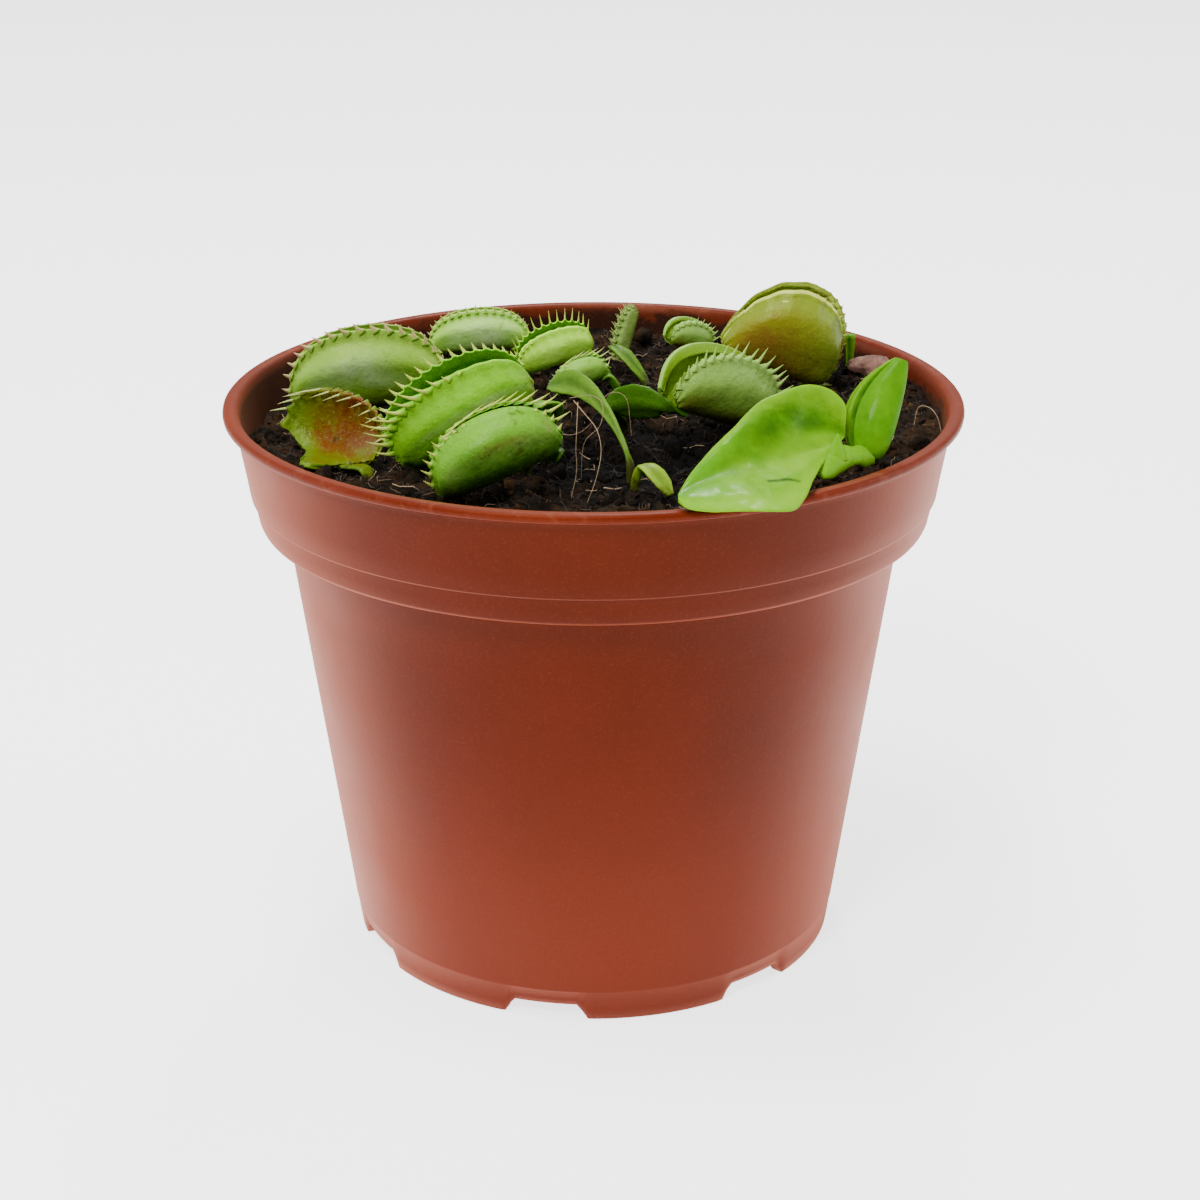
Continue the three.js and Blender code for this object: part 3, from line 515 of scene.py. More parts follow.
LEFT_BACK = trap_of(
    PLAIN_TRAP, at=(-28.2, 10, 64.9), heading=4, rise=5, roll=-6, length=20.2, width=10.2,
    bulge=3.6, close=150, flare=0.6, spikes=17, tooth=1.6, tooth_base=0.36, ridge=1.7,
    near_teeth=(-0.75, 0.7, 0.1, 0.9), near_row=(0.6, 0.8, 0.9, 0.95, 0.9, 0.7, 0.4),
    far_row=(0.2, 0.3, 0.3, 0.3, 0.2), blush=[(0.3, 0.28, 0.5, 0.2, 0.7)],
    bloom=[(-0.1, 0.6, 0.35, 0.12, 0.9), (0.15, 0.5, 0.2, 0.08, 0.7),
           (-0.6, 0.45, 0.22, 0.12, 0.7)],
)
LEFT_FRONT = trap_of(
    PLAIN_TRAP, at=(-31.6, -11.6, 64.9), heading=-34, rise=-5, roll=4, length=15, width=7.6,
    bulge=3.8, close=100, flare=0, gape=0.2, square=0.45, near=(0.12, 1.1, 0.2), rib=0.36,
    fan=1.2, spikes=14, tooth=2.9, tooth_bend=-0.06, ridge=0.0,
    near_teeth=(-0.1, 0.15, 1, 0.6), far_teeth=(-0.6, -0.1, -1, 0.35),
    near_row=(0, 0), far_row=(0.8, 0.9, 1.25, 1.2, 1, 0.8, 0.6, 0.5),
    blush=[(0.05, -0.45, 0.55, 0.4, 1.0), (0.5, -0.7, 0.55, 0.4, 1.0),
           (-0.25, -0.6, 0.35, 0.35, 0.9), (0.3, -0.9, 0.5, 0.15, 0.6),
           (0.1, 0.3, 0.5, 0.5, 0.4), (0.75, -0.35, 0.4, 0.3, 0.9)],
)
CENTRE = trap_of(
    PLAIN_TRAP, at=(-14, -13, 68.2), heading=14, rise=27, roll=4, length=18.5, width=9.2,
    bulge=3.6, close=148, flare=0.6, square=0.45, pleat=0.1, pleats=11,
    spikes=20, tooth=2.9, tooth_base=0.31, tooth_bend=0.3,
    near_teeth=(-0.8, 0.6, 0.1, 0.7), far_teeth=(-0.5, 0.9, 0.1, 0.6),
    near_row=(0.8, 1.25, 1.3, 1.2, 0.9, 0.5, 0, 0, 0, 0, 0),
    far_row=(0.3, 0.4, 0.4, 0.5, 0.55, 0.4, 0.3, 0.25, 0.2),
    # Its bloom is a painted highlight: a thin glint along the ridge
    blush=[(1, 0.5, 0.12, 0.6, 0.7)], bloom=[(0.15, 0.6, 0.7, 0.04, 0.8)],
)
FRONT = trap_of(
    PLAIN_TRAP, at=(-10, -25, 67.4), heading=12, rise=22, roll=4, length=15.6, width=8.2,
    bulge=3.4, close=171, flare=0.1, tooth=2.2, tooth_base=0.26,
    near_teeth=(0, 0.9, 0.2, 0.9), far_teeth=(0.9, 0.25, -0.35, 0.4),
    near_row=(0.6, 0.7, 0.6, 0.2, 0, 0, 0, 0.3, 0.4),
    far_row=(0.4, 0.6, 0.9, 1.1, 1.2, 1.2, 1.2, 1.1, 0.8),
    blush=[(0.1, 0.62, 0.25, 0.04, 0.5), (0.75, 0.75, 0.12, 0.2, 0.4)],
    # Its first bloom spot is painted light: a lit patch near the ridge
    bloom=[(0.2, 0.55, 0.5, 0.12, 0.55), (-0.6, 0.6, 0.2, 0.1, 0.4)],
)
RIGHT_MIDDLE = trap_of(
    PLAIN_TRAP, at=(15, 1, 65.9), heading=33, rise=-22, roll=-2, length=15.5, width=8.2,
    bulge=3.4, close=138, flare=0.3, far=(1.1, 1.1, 1.22), spikes=17, tooth=2.4,
    tooth_base=0.32, pad=3.2, ridge=0.3, lip=0.12, deep=0.95,
    near_teeth=(0.4, 0.9, 0.1, 0.7), far_teeth=(0, 0.5, -0.6, 0.7),
    near_row=(0.5, 0.7, 0.8, 0.9, 1, 1, 1, 0.9), far_row=(0, 0),
    blush=[(-0.7, 0.35, 0.4, 0.3, 0.7), (0, 0.15, 1.0, 0.2, 0.7)],
    bloom=[(0, 0.85, 0.9, 0.3, 0.7)],
)
TALL_RIGHT = trap_of(
    PLAIN_TRAP, at=(22.2, 14, 68.6), heading=8, rise=-22, roll=2, length=15.2, width=10.6,
    bulge=3.8, close=177, flare=0, gape=0.12, lean=0.12, square=0.7, pleat=0.24, pleats=7,
    near=(1.07, 1.0, 1.0), far=(1.15, 0.95, 1.0), spikes=20, tooth=0.8, tooth_base=0.3,
    lip=0.3, ridge=1.3, near_teeth=(0.4, 0.9, 0.1, 0.6),
    near_row=(0, 0, 0, 0, 0.4, 0.8, 1, 1, 0.9), far_row=(0, 0, 0, 0.3, 0.8, 1, 1),
    blush=[(-0.45, 0.45, 0.4, 0.25, 0.9), (-0.1, 0.2, 0.6, 0.25, 0.9)],
    bloom=[(0.7, 0.6, 0.35, 0.4, 0.7), (-0.5, 0.78, 0.5, 0.12, 0.2)],
)

# Node, trap, end of the rib with the stalk, stalk's way, place in the soil, finish, slot
LEAVES = [
    ("leaf_left_back", LEFT_BACK, 1, [], (-15.6, 9.4), "fresh", "leaf"),
    ("leaf_left_front", LEFT_FRONT, 1, [], (-26.6, -15.6), "orange", "olive_leaf"),
    ("leaf_back_left", trap_of(
        LEFT_BACK, 0.66, at=(-15.3, 29, 67), heading=2, rise=4, length=13.4, width=5.6,
        near_teeth=(-0.1, 0.9, 0.1, 0.9), tooth_base=0.2, across=22,
        bloom=[(0.1, 0.45, 0.5, 0.24, 0.9), (0.4, 0.75, 0.3, 0.15, 0.3)],
    ), 1, [], (-6.4, 29.6), "pale", "leaf"),
    ("leaf_centre", CENTRE, 1, [(-4.6, -8.4, 70.6, 1.1)], (-7, -3.6), "bright", "leaf"),
    ("leaf_front", FRONT, 1, [(-5.4, -19.2, 68.4, 0.8)], (-8, -14.4), "deep", "dark_leaf"),
    ("leaf_back_centre", trap_of(
        CENTRE, 0.56, at=(-4.6, 23, 66.9), rise=16, spikes=15, tooth_base=0.16, across=22,
        near_teeth=(0, 1, 0, 0.7), far_teeth=(0, 1, 0, 0.4), bloom=[(0, 0.5, 0.9, 0.4, 0.9)],
        near_row=(0.3, 0.2, 0.1, 0.05, 0.05), far_row=(0.5, 0.8, 1, 1, 1, 0.9, 0.7),
    ), 1, [], (1.8, 25), "lively", "leaf"),
    ("leaf_small_centre", trap_of(
        FRONT, 0.48, at=(-1.2, 14.5, 66.3), spikes=12, tooth_base=0.14, tooth=1.5, across=22,
    ), 1, [], (3.4, 15.6), "speckled", "leaf"),
    ("leaf_right_middle", RIGHT_MIDDLE, -1, [
        (8.2, -2.2, 68.7, 1.4, 80), (6.9, -1.4, 68.7, 2.1, 80), (5.0, -0.6, 68.6, 2.4, 80),
        (3.2, 0.2, 68.2, 2.0, 78), (2.2, 1.0, 67.4, 1.1, 76),
    ], (3.6, 3.4), "mint", "leaf"),
    ("leaf_tall_right", TALL_RIGHT, 1, [], (31.2, 17.6), "olive", "olive_leaf"),
    ("leaf_back_right", trap_of(
        RIGHT_MIDDLE, 0.46, at=(12.6, 31.8, 66.4), spikes=11, tooth_base=0.16, across=22,
    ), 1, [], (17.8, 33.8), "mint", "leaf"),
    ("leaf_upright_back", trap_of(
        CENTRE, 0.44, at=(5.2, 29.6, 68.8), heading=0, rise=76, roll=0, width=2.4, bulge=0.9,
        spikes=11, near_teeth=(0.3, 1, 0, 0.4), tooth=1, tooth_base=0.16, across=22,
        near_row=(0.6, 0.9, 1, 0.9, 0.6), far_row=(0.6, 0.9, 1, 0.9, 0.6),
    ), -1, [], (4.2, 30), "grey", "leaf"),
]

# Node, place in the soil, stations of x, y, z, half width and turn, finish
YOUNG_LEAVES = [
    ("young_leaf_arched", (4.3, -13.5), [
        (4.0, -12.9, 66.0, 0.3, -30), (3.0, -10.3, 67.8, 0.4, -30), (1.1, -6.2, 69.8, 0.8, -40),
        (-0.9, -3.4, 71.0, 1.35, -40), (-2.9, -1.6, 71.3, 1.85, -40),
        (-4.5, -0.8, 71.0, 1.7, -40), (-5.4, -0.4, 70.5, 0.7, -40)], "young"),
    ("young_leaf_back", (6.8, 20.4), [
        (5.4, 21.6, 66.6, 1), (3.8, 23.4, 68, 1.3), (2.5, 24.8, 68.6, 0.9)], "young"),
    ("young_leaf_front", (4.8, -20.6), [
        (5.4, -21.7, 67.2, 0.5), (6.1, -22.6, 67.5, 1.15), (7.0, -23.6, 67.0, 1.35),
        (7.9, -24.5, 66.1, 1.15), (8.7, -25.3, 65.1, 0.5)], "spring"),
    ("young_leaf_right", (33.4, 20.6), [
        (33.4, 20.5, 68.6, 0.5), (33.3, 20.4, 71.6, 0.7)], "bright"),
]

# The large leaf: its two edges and its rib, from the tip on the lip to the neck
BLADE = {
    "lower": [(9, -43.2, 70.9), (9.9, -44.6, 70.5), (12.4, -45.2, 70.3), (15, -45.3, 70.3),
              (18, -45.4, 70.3), (20.9, -44.8, 70.3), (22.6, -41.4, 70.6), (23.6, -37.6, 71),
              (25.4, -32, 71.5), (27.3, -28.2, 72.6)],
    "rib": [(9, -42.7, 71), (11.3, -39.8, 71.6), (15.2, -36.5, 72.2), (19.1, -34, 72.3),
            (23.2, -31, 72.2), (27.7, -27.6, 72.5)],
    "upper": [(9, -42.2, 71.1), (10.2, -38.6, 71.9), (12.4, -35, 73.3), (15.2, -31.5, 74.9),
              (18.6, -27.5, 77), (21.8, -25.5, 77.8), (24.2, -24.5, 78), (26.7, -24, 77.2),
              (28.2, -24.8, 75.6), (28, -26.6, 73.4)],
}
BLADE_ROOT = (13.2, -35.6)
BLADE_STALK = [(14.6, -37.2, 72, 1.1), (13.6, -36.6, 69.6, 1)]
BLADE_MARK = [(18.8, -39.2), (19.8, -38.9), (20.8, -38.4), (22.0, -38.4)]
BLADE_STATIONS, BLADE_STEPS = 150, 81
BLADE_SWELLING, BLADE_WAVES, BLADE_RIPPLES = 0.5, 0.3, 0.05
SCRATCH_REACH = 0.3

# The bud's lip, furrow and slit: angles from its seam in radians, and shares of its radius
BUD_LIP_AT, BUD_FURROW_AT = 0.2, 0.4
BUD_LIP_WIDTH, BUD_FURROW_WIDTH, BUD_SLIT_WIDTH = 0.1, 0.08, 0.08
BUD_LIP_HEIGHT, BUD_FURROW_DEPTH, BUD_SLIT_DEPTH = 0.16, 0.16, 0.3
BUD_RINGS, BUD_SIDES, BUD_BEND = 90, 150, 0.8
NECK_SIDES, NECK_STEPS, NECK_MOST_THICK = 32, 14, 1.0
BUD = {"foot": (30.5, -25.4, 69.9), "tip": (34.7, -20.8, 79.8), "seam": 1.18, "half": (2.9, 2.2),
       "neck": [(24.9, -33.4, 70.3, 0.5), (25.6, -32.3, 70.4, 1.0), (26.7, -30.5, 70.9, 1.4),
                (28.2, -28.5, 71.0, 1.4), (29.6, -27.1, 70.4, 1.4), (30.9, -25.9, 70.3, 1.25)],
       "spur": [(26.9, -30.3, 71.0, 1.35), (26.9, -29.9, 72.3, 0.9), (27.0, -29.3, 73.8, 0.12)]}

# The bark chip, and the middle of the peat's hollow, which is also the centre of its painted shade
CHIP = {"at": (35.9, 16.9, 67.4), "half": (3.1, 1.8, 1.5), "bearing": -25}
HOLLOW = (7.5, -10.0)


# Shader nodes


def colour(red, green, blue):
    """A linear colour from the 0 to 255 numbers of a screen colour."""
    parts = [x / 255 for x in (red, green, blue)]
    return tuple(x / 12.92 if x <= 0.04045 else ((x + 0.055) / 1.055) ** 2.4 for x in parts) + (1,)


class Nodes:
    """Short calls for the nodes of one shader tree. A value is a number, a colour or a socket."""

    def __init__(self, tree):
        self.tree, self.coordinates = tree, None

    def feed(self, made, inputs):
        """Links the sockets among the values to a node's inputs, and sets the rest on them."""
        for key, value in inputs.items():
            if isinstance(value, bpy.types.NodeSocket):
                self.tree.links.new(value, made.inputs[key])
            else:
                made.inputs[key].default_value = value

    def new(self, kind, inputs=None, **settings):
        """Adds a node."""
        made = self.tree.nodes.new(kind)
        for key, value in settings.items():
            setattr(made, key, value)
        self.feed(made, inputs or {})
        return made

    def calc(self, operation, a, b):
        """One Math node's result."""
        return self.new("ShaderNodeMath", {0: a, 1: b}, operation=operation).outputs[0]

    def add(self, a, b):
        return self.calc("ADD", a, b)

    def less(self, a, b):
        return self.calc("SUBTRACT", a, b)

    def times(self, a, b):
        return self.calc("MULTIPLY", a, b)

    def fade(self, value, low, high, start=0.0, end=1.0):
        """A smooth step from start at low to end at high."""
        return self.new("ShaderNodeMapRange", {
            "Value": value, "From Min": low, "From Max": high, "To Min": start, "To Max": end,
        }, interpolation_type="SMOOTHSTEP").outputs["Result"]

    def layers(self, tint, *rows):
        """A colour with others laid over it in turn, each row a mask and a colour."""
        for mask, over in rows:
            tint = self.new("ShaderNodeMix", {0: mask, 6: tint, 7: over},
                            data_type="RGBA").outputs[2]
        return tint

    def place(self, kind="Object"):
        """The piece's own coordinates in metres, or another kind, from the tree's one node."""
        self.coordinates = self.coordinates or self.new("ShaderNodeTexCoord")
        return self.coordinates.outputs[kind]

    def axis(self, letter):
        """One of the piece's own coordinates in millimetres."""
        parts = self.new("ShaderNodeSeparateXYZ", {"Vector": self.place()}).outputs
        return self.times(parts[letter], 1 / MM)

    def noise(self, scale, detail=3.0, roughness=0.55, distortion=0.0):
        """Noise of about 0 to 1. The scale is in waves per metre."""
        return self.new("ShaderNodeTexNoise", {
            "Vector": self.place(), "Scale": scale, "Detail": detail, "Roughness": roughness,
            "Distortion": distortion,
        }).outputs["Fac"]

    def value(self, name):
        """A vertex value of the piece."""
        return self.new("ShaderNodeAttribute", attribute_name=name).outputs["Fac"]

    def bump(self, height, distance, strength=0.6):
        """The normal of a relief of a real depth, in metres."""
        return self.new("ShaderNodeBump", {
            "Height": height, "Distance": distance, "Strength": strength,
        }).outputs["Normal"]


def principled(name):
    """A new material, its nodes and its Principled BSDF."""
    material = bpy.data.materials.new(name)
    material.use_nodes = True
    tree = material.node_tree
    return material, Nodes(tree), tree.nodes["Principled BSDF"]


SKIN_COLOURS = ("Body", "Shade", "Margin", "Inside", "Tooth", "Stain", "Blush", "Bloom")


def leaf_skin_group():
    """Leaf colour, roughness and fine relief, shared by all leaves: the Shade colour toward the rib,
    partly the leaf's own tone and partly painted shade, clouds, mottling and a margin line, pale
    bloom with painted highlights and brown blush with painted shade by the piece's own values,
    teeth, blots, specks and pits, and, near the soil, a dusting of peat."""
    tree = bpy.data.node_groups.new("leaf_skin", "ShaderNodeTree")
    for way, kind, labels in (
        ("INPUT", "NodeSocketColor", (*SKIN_COLOURS, "Deep")),
        ("INPUT", "NodeSocketFloat", ("Shade Height", "Stain Amount", "Dirt Height", "Rough")),
        ("OUTPUT", "NodeSocketColor", ("Color",)),
        ("OUTPUT", "NodeSocketFloat", ("Roughness", "Height")),
    ):
        for label in labels:
            tree.interface.new_socket(label, in_out=way, socket_type=kind)
    given = tree.nodes.new("NodeGroupInput").outputs
    n = Nodes(tree)
    margin, stains = n.value("margin"), given["Stain Amount"]
    broad, fine = n.noise(170.0), n.noise(1100.0, 4.0)
    drift = n.times(n.less(broad, 0.5), 0.5)
    top = given["Shade Height"]
    # bloom: pale bloom together with painted highlights and painted light; blush: brown blush
    # together with painted shade
    bloom = n.times(n.value("bloom"), n.fade(n.noise(300.0, 4.0), 0.3, 0.7, 0.35, 1.0))
    blush = n.times(n.value("blush"), n.fade(n.noise(330.0, 5.0, 0.65), 0.3, 0.62, 0.45, 1.0))
    blots = n.fade(n.noise(620.0, 5.0, 0.6, 0.4), 0.58, 0.7)
    specks = n.fade(n.noise(2300.0, 2.0), 0.6, 0.75, 0.0, 0.5)
    pits = n.fade(n.noise(1700.0, 3.0, 0.6, 0.3), 0.66, 0.74, 0.0, 0.55)
    level = n.add(n.less(n.axis("Z"), SOIL_LEVEL), n.times(n.less(fine, 0.5), 4.0))
    dirty = given["Dirt Height"]
    dirt = n.fade(level, n.times(dirty, 0.15), dirty, 0.85, 0.0)
    tint = n.layers(
        # Under everything and toward the rib, the Shade colour: partly the leaf's own tone, partly
        # painted shade
        given["Shade"],
        (n.fade(n.add(margin, drift), n.times(top, 0.1), top), given["Body"]),
        (n.fade(n.noise(420.0), 0.35, 0.75, 0.0, 0.35), given["Margin"]),
        (n.fade(fine, 0.48, 0.72, 0.0, 0.4), given["Shade"]),
        (n.fade(margin, 0.55, 0.85, 0.0, 0.75), given["Margin"]),
        (n.fade(n.value("inside"), 0.4, 0.9), given["Inside"]),
        # Pale bloom with painted highlights and painted light, then brown blush with painted shade
        (bloom, given["Bloom"]),
        (blush, given["Blush"]),
        (n.times(blots, stains), given["Stain"]),
        (n.times(specks, stains), given["Bloom"]),
        (n.times(pits, stains), given["Stain"]),
        (n.fade(n.value("tooth"), 0.0, 0.35), given["Tooth"]),
        (n.value("deep"), given["Deep"]),
        (dirt, colour(50, 34, 18)),
    )
    dusty = n.times(n.times(bloom, stains), 2.0)
    dull = n.add(n.add(dirt, dusty), n.value("matt"))
    rough = n.add(given["Rough"], n.fade(broad, 0.3, 0.7, 0.24, 0.42))
    relief = n.add(n.times(n.noise(3600.0, 2.0), 0.35), n.times(fine, 0.65))
    n.feed(tree.nodes.new("NodeGroupOutput"), {
        "Color": tint,
        "Roughness": n.add(rough, n.times(dull, 0.28)),
        "Height": n.add(relief, n.times(n.noise(520.0, 2.0), 0.7)),
    })
    return tree


# The skin's colours in their order, the shade's height and the amount of stains
LEAF_FINISHES = {
    "fresh": ((108, 158, 18), (116, 160, 26), (146, 186, 66), (104, 140, 40), (196, 170, 120),
              (84, 78, 30), (74, 84, 26), (168, 194, 132), 0.6, 0.35),
    # pale: a lighter version of fresh, painted light for the small trap at the back left
    "pale": ((148, 208, 62), (154, 208, 78), (164, 216, 76), (120, 156, 50), (180, 176, 110),
             (84, 78, 30), (74, 84, 26), (225, 248, 189), 0.6, 0.3),
    # lively: a lighter version of bright, painted light for the small trap at the back centre
    "lively": ((166, 237, 34), (147, 218, 23), (179, 244, 51), (92, 160, 8), (206, 218, 100),
               (80, 96, 20), (150, 124, 84), (202, 246, 103), 0.5, 0.2),
    "bright": ((116, 186, 10), (76, 140, 4), (138, 204, 30), (86, 156, 6), (206, 218, 100),
               (80, 96, 20), (150, 124, 84), (196, 222, 136), 0.5, 0.2),
    "deep": ((70, 134, 14), (52, 100, 8), (116, 180, 36), (52, 116, 6), (206, 218, 100),
             (62, 62, 20), (120, 84, 36), (150, 178, 92), 0.85, 0.65),
    "speckled": ((112, 168, 44), (70, 128, 22), (140, 196, 66), (60, 118, 12), (214, 224, 130),
                 (66, 84, 24), (96, 90, 36), (170, 196, 110), 0.7, 0.6),
    "orange": ((92, 118, 16), (112, 100, 16), (98, 132, 20), (90, 118, 10), (190, 196, 120),
               (40, 16, 4), (104, 46, 2), (170, 180, 110), 0.4, 0.6),
    "mint": ((122, 168, 60), (112, 126, 34), (150, 196, 84), (100, 138, 14), (166, 208, 100),
             (92, 90, 34), (104, 100, 26), (150, 196, 96), 0.5, 0.35),
    # olive's Inside colour is painted light: pale so the shaded band between the lobes looks lit
    "olive": ((130, 140, 34), (116, 96, 36), (120, 142, 26), (210, 222, 104), (160, 180, 70),
              (104, 78, 24), (132, 100, 34), (130, 162, 56), 0.5, 0.4),
    "grey": ((128, 158, 70), (96, 118, 44), (140, 166, 84), (86, 112, 40), (164, 174, 100),
             (80, 76, 36), (90, 84, 40), (150, 170, 110), 0.4, 0.3),
    "young": ((98, 138, 34), (54, 86, 14), (112, 152, 40), (92, 128, 34), (180, 180, 120),
              (84, 84, 36), (90, 84, 40), (150, 170, 110), 0.4, 0.3),
    "spring": ((152, 186, 40), (112, 146, 22), (170, 204, 70), (150, 180, 50), (180, 190, 90),
               (90, 84, 36), (96, 90, 36), (180, 204, 96), 0.4, 0.5),
    "glossy": ((84, 150, 0), (64, 124, 0), (124, 178, 14), (80, 144, 0), (150, 190, 60),
               (60, 110, 0), (30, 72, 0), (126, 170, 0), 0.3, 0.1),
}

# Height over the soil that a leaf is dusted to
DIRT_HEIGHT = 2.5
OTHER_DIRT_HEIGHTS = {"deep": 4.5, "orange": 0.4}

# Relief in metres, specular level, coat, the coat's roughness, and roughness that is added
SOFT_SHINE, GLOSS = (0.0003, 0.26, 0.08, 0.3, 0.0), (0.00012, 0.1, 0.05, 0.12, 0.03)


def leaf_material(key):
    """A leaf finish, made at its first use: the shared skin with its own colours, over a shader
    with a soft sheen. The glossy one is smoother."""
    if f"leaf_{key}" in bpy.data.materials:
        return bpy.data.materials[f"leaf_{key}"]
    *colours, shade_height, stain_amount = LEAF_FINISHES[key]
    relief, specular, coat, coat_rough, rough = GLOSS if key == "glossy" else SOFT_SHINE
    material, n, shader = principled(f"leaf_{key}")
    inputs = {label: colour(*parts) for label, parts in zip(SKIN_COLOURS, colours)}
    inputs["Deep"] = colour(48, 92, 6)
    inputs["Shade Height"] = shade_height
    inputs["Stain Amount"] = stain_amount
    inputs["Dirt Height"] = OTHER_DIRT_HEIGHTS.get(key, DIRT_HEIGHT)
    inputs["Rough"] = rough
    group = bpy.data.node_groups.get("leaf_skin") or leaf_skin_group()
    skin = n.new("ShaderNodeGroup", inputs, node_tree=group).outputs
    n.feed(shader, {
        "Base Color": skin["Color"], "Roughness": skin["Roughness"],
        "Normal": n.bump(skin["Height"], relief), "Subsurface Weight": 0.12,
        "Subsurface Radius": (0.6, 1.0, 0.3), "Subsurface Scale": 0.0008,
        "Specular IOR Level": specular, "Specular Tint": colour(206, 232, 120),
        "Coat Weight": coat, "Coat Roughness": coat_rough,
    })
    return material


def pot_material(settings):
    """Moulded plastic: cloudy terracotta with specks and a fine grain, painted lighter toward the
    foot as if lit from the floor, painted with a pale sheen where it turns away from the eye,
    scuffed on the lip and stained by peat on the inside, most of all low down and at the left."""
    material, n, shader = principled("terracotta_plastic")
    cloud, grain = n.noise(45.0), n.noise(3400.0)
    worn, inner = n.value("lip"), n.value("inner")
    scuff = n.fade(n.noise(260.0, 6.0, 0.7, 1.0), 0.5, 0.72)
    low = n.fade(n.axis("Z"), 64.5, 70.5, 0.42, -0.12)
    left = n.fade(n.axis("X"), -43.0, -22.0, 0.36, 0.0)
    behind = n.fade(n.axis("Y"), 10.0, 34.0, 0.0, 0.1)
    grime = n.add(n.add(n.noise(130.0, 7.0, 0.68, 0.8), low), n.add(left, behind))
    soiled = n.times(n.fade(grime, 0.56, 0.7), inner)
    # Painted sheen: the outside is painted paler where it turns away from the eye
    facing = n.new("ShaderNodeLayerWeight", {"Blend": 0.5}).outputs["Facing"]
    pale = n.times(n.fade(facing, 0.3, 1.0, 0.0, 0.66), n.less(1.0, inner))
    tint = n.layers(
        tuple(settings.colour) + (1,),
        (n.fade(cloud, 0.3, 0.7), colour(91, 24, 8)),
        # Painted light: lighter toward the foot, as if lit from the floor below
        (n.fade(n.axis("Z"), 4.0, 42.0, 0.62, 0.0), colour(132, 52, 34)),
        (n.times(worn, n.fade(cloud, 0.2, 0.8, 0.15, 0.5)), colour(120, 38, 14)),
        (n.times(n.times(worn, scuff), 0.65), colour(132, 70, 50)),
        (n.times(inner, 0.7), colour(84, 32, 17)),
        (n.times(soiled, 0.92), colour(24, 15, 11)),
        (n.fade(n.noise(1500.0, 2.0), 0.72, 0.78, 0.0, 0.35), colour(84, 36, 22)),
        (n.fade(grain, 0.54, 0.7, 0.0, 0.13), colour(136, 64, 44)),
        (n.fade(grain, 0.3, 0.46, 0.18, 0.0), colour(62, 16, 6)),
        # The painted sheen, weaker on the scuffed lip
        (n.times(pale, n.less(1.0, n.times(worn, 0.8))), colour(198, 92, 56)),
    )
    relief = n.add(n.times(n.noise(1400.0, 4.0), 0.4), n.times(n.noise(120.0), 0.6))
    n.feed(shader, {
        "Base Color": tint, "Normal": n.bump(relief, 0.00012, 0.4),
        "Roughness": n.add(n.fade(cloud, 0.3, 0.7, 0.38, 0.5), n.times(soiled, 0.4)),
        "Specular IOR Level": 0.24, "Specular Tint": colour(255, 178, 134),
        "Sheen Weight": 0.14, "Sheen Roughness": 0.35, "Sheen Tint": colour(255, 160, 112),
    })
    return material


def hollow_shade(n, tint):
    """Paints shade into a colour in the hollow in the middle of the peat: painted shade, fading out
    by the square of the distance from its centre in millimetres."""
    x, y = (n.less(n.axis(axis), middle) for axis, middle in zip("XY", HOLLOW))
    square = n.add(n.times(x, x), n.times(y, y))
    return n.layers(tint, (n.fade(square, 60.0, 380.0, 0.84, 0.0), colour(4, 3, 2)))


def peat_material(settings):
    """Damp peat: near black, with brown grains and crumbs that are paler by their own tone, and
    painted shade in the hollow in its middle.
    """
    material, n, shader = principled("peat")
    coarse, fine = n.noise(260.0, 5.0, 0.6), n.noise(1500.0, 5.0, 0.7)
    tint = n.layers(
        tuple(settings.colour) + (1,),
        (n.fade(coarse, 0.42, 0.66), colour(56, 38, 21)),
        (n.fade(fine, 0.52, 0.72, 0.0, 0.55), colour(74, 53, 32)),
        (n.fade(n.value("tone"), 0.7, 1.0, 0.0, 0.75), colour(98, 68, 40)),
    )
    n.feed(shader, {
        "Base Color": hollow_shade(n, tint), "Roughness": n.fade(fine, 0.3, 0.7, 0.6, 1.0),
        "Specular IOR Level": 0.1, "Normal": n.bump(n.add(coarse, fine), 0.0009, 0.9),
    })
    return material


def fibre_material():
    """Dark brown peat fibres, some of them paler, with painted shade in the peat's hollow."""
    material, n, shader = principled("peat_fibre")
    pale = n.fade(n.value("tone"), 0.5, 1.0)
    tint = n.layers(colour(34, 22, 14), (pale, colour(92, 66, 44)))
    n.feed(shader, {"Base Color": hollow_shade(n, tint), "Roughness": 0.7})
    return material


def rootlet_material():
    """Dry tan rootlets, made at its first use."""
    if "rootlet" in bpy.data.materials:
        return bpy.data.materials["rootlet"]
    material, n, shader = principled("rootlet")
    tint = n.layers(colour(140, 108, 74), (n.noise(700.0), colour(206, 178, 140)))
    n.feed(shader, {"Base Color": tint, "Roughness": 0.6})
    return material


def bark_material():
    """Weathered pinkish bark with dark pits."""
    material, n, shader = principled("bark")
    grain = n.noise(500.0, 6.0, 0.65, 0.5)
    tint = n.layers(colour(92, 58, 46), (n.fade(grain, 0.35, 0.7), colour(158, 116, 100)))
    n.feed(shader, {"Base Color": tint, "Roughness": 0.85, "Normal": n.bump(grain, 0.0008, 0.8)})
    return material


# Pot

# Millimetres, and degrees for the first notch
WALL = 0.9
FOOT_RADIUS, COLLAR_BOTTOM = 30.8, 55.7
SEAM_RADIUS, SEAM_HEIGHT, SEAM_STEP = 42.2, 59.3, 0.3
LIP_NECK, LIP_INNER, LIP_THICKNESS = 43.65, 43.4, 1.1
FLOOR_RADIUS, FLOOR_UNDERSIDE, FLOOR_THICKNESS = 28.9, 2.6, 1.1
NOTCHES, NOTCH_HEIGHT, FIRST_NOTCH, NOTCH_TOP = 7, 2.0, -11.0, 4.2
NOTCH_HALF_WIDTHS = (3.9, 5.3)
MIDDLE_DRAIN_RADIUS, DRAIN_RADIUS, DRAIN_DISTANCE = 3.0, 2.6, 20.0
DRAIN_SIDES = 24


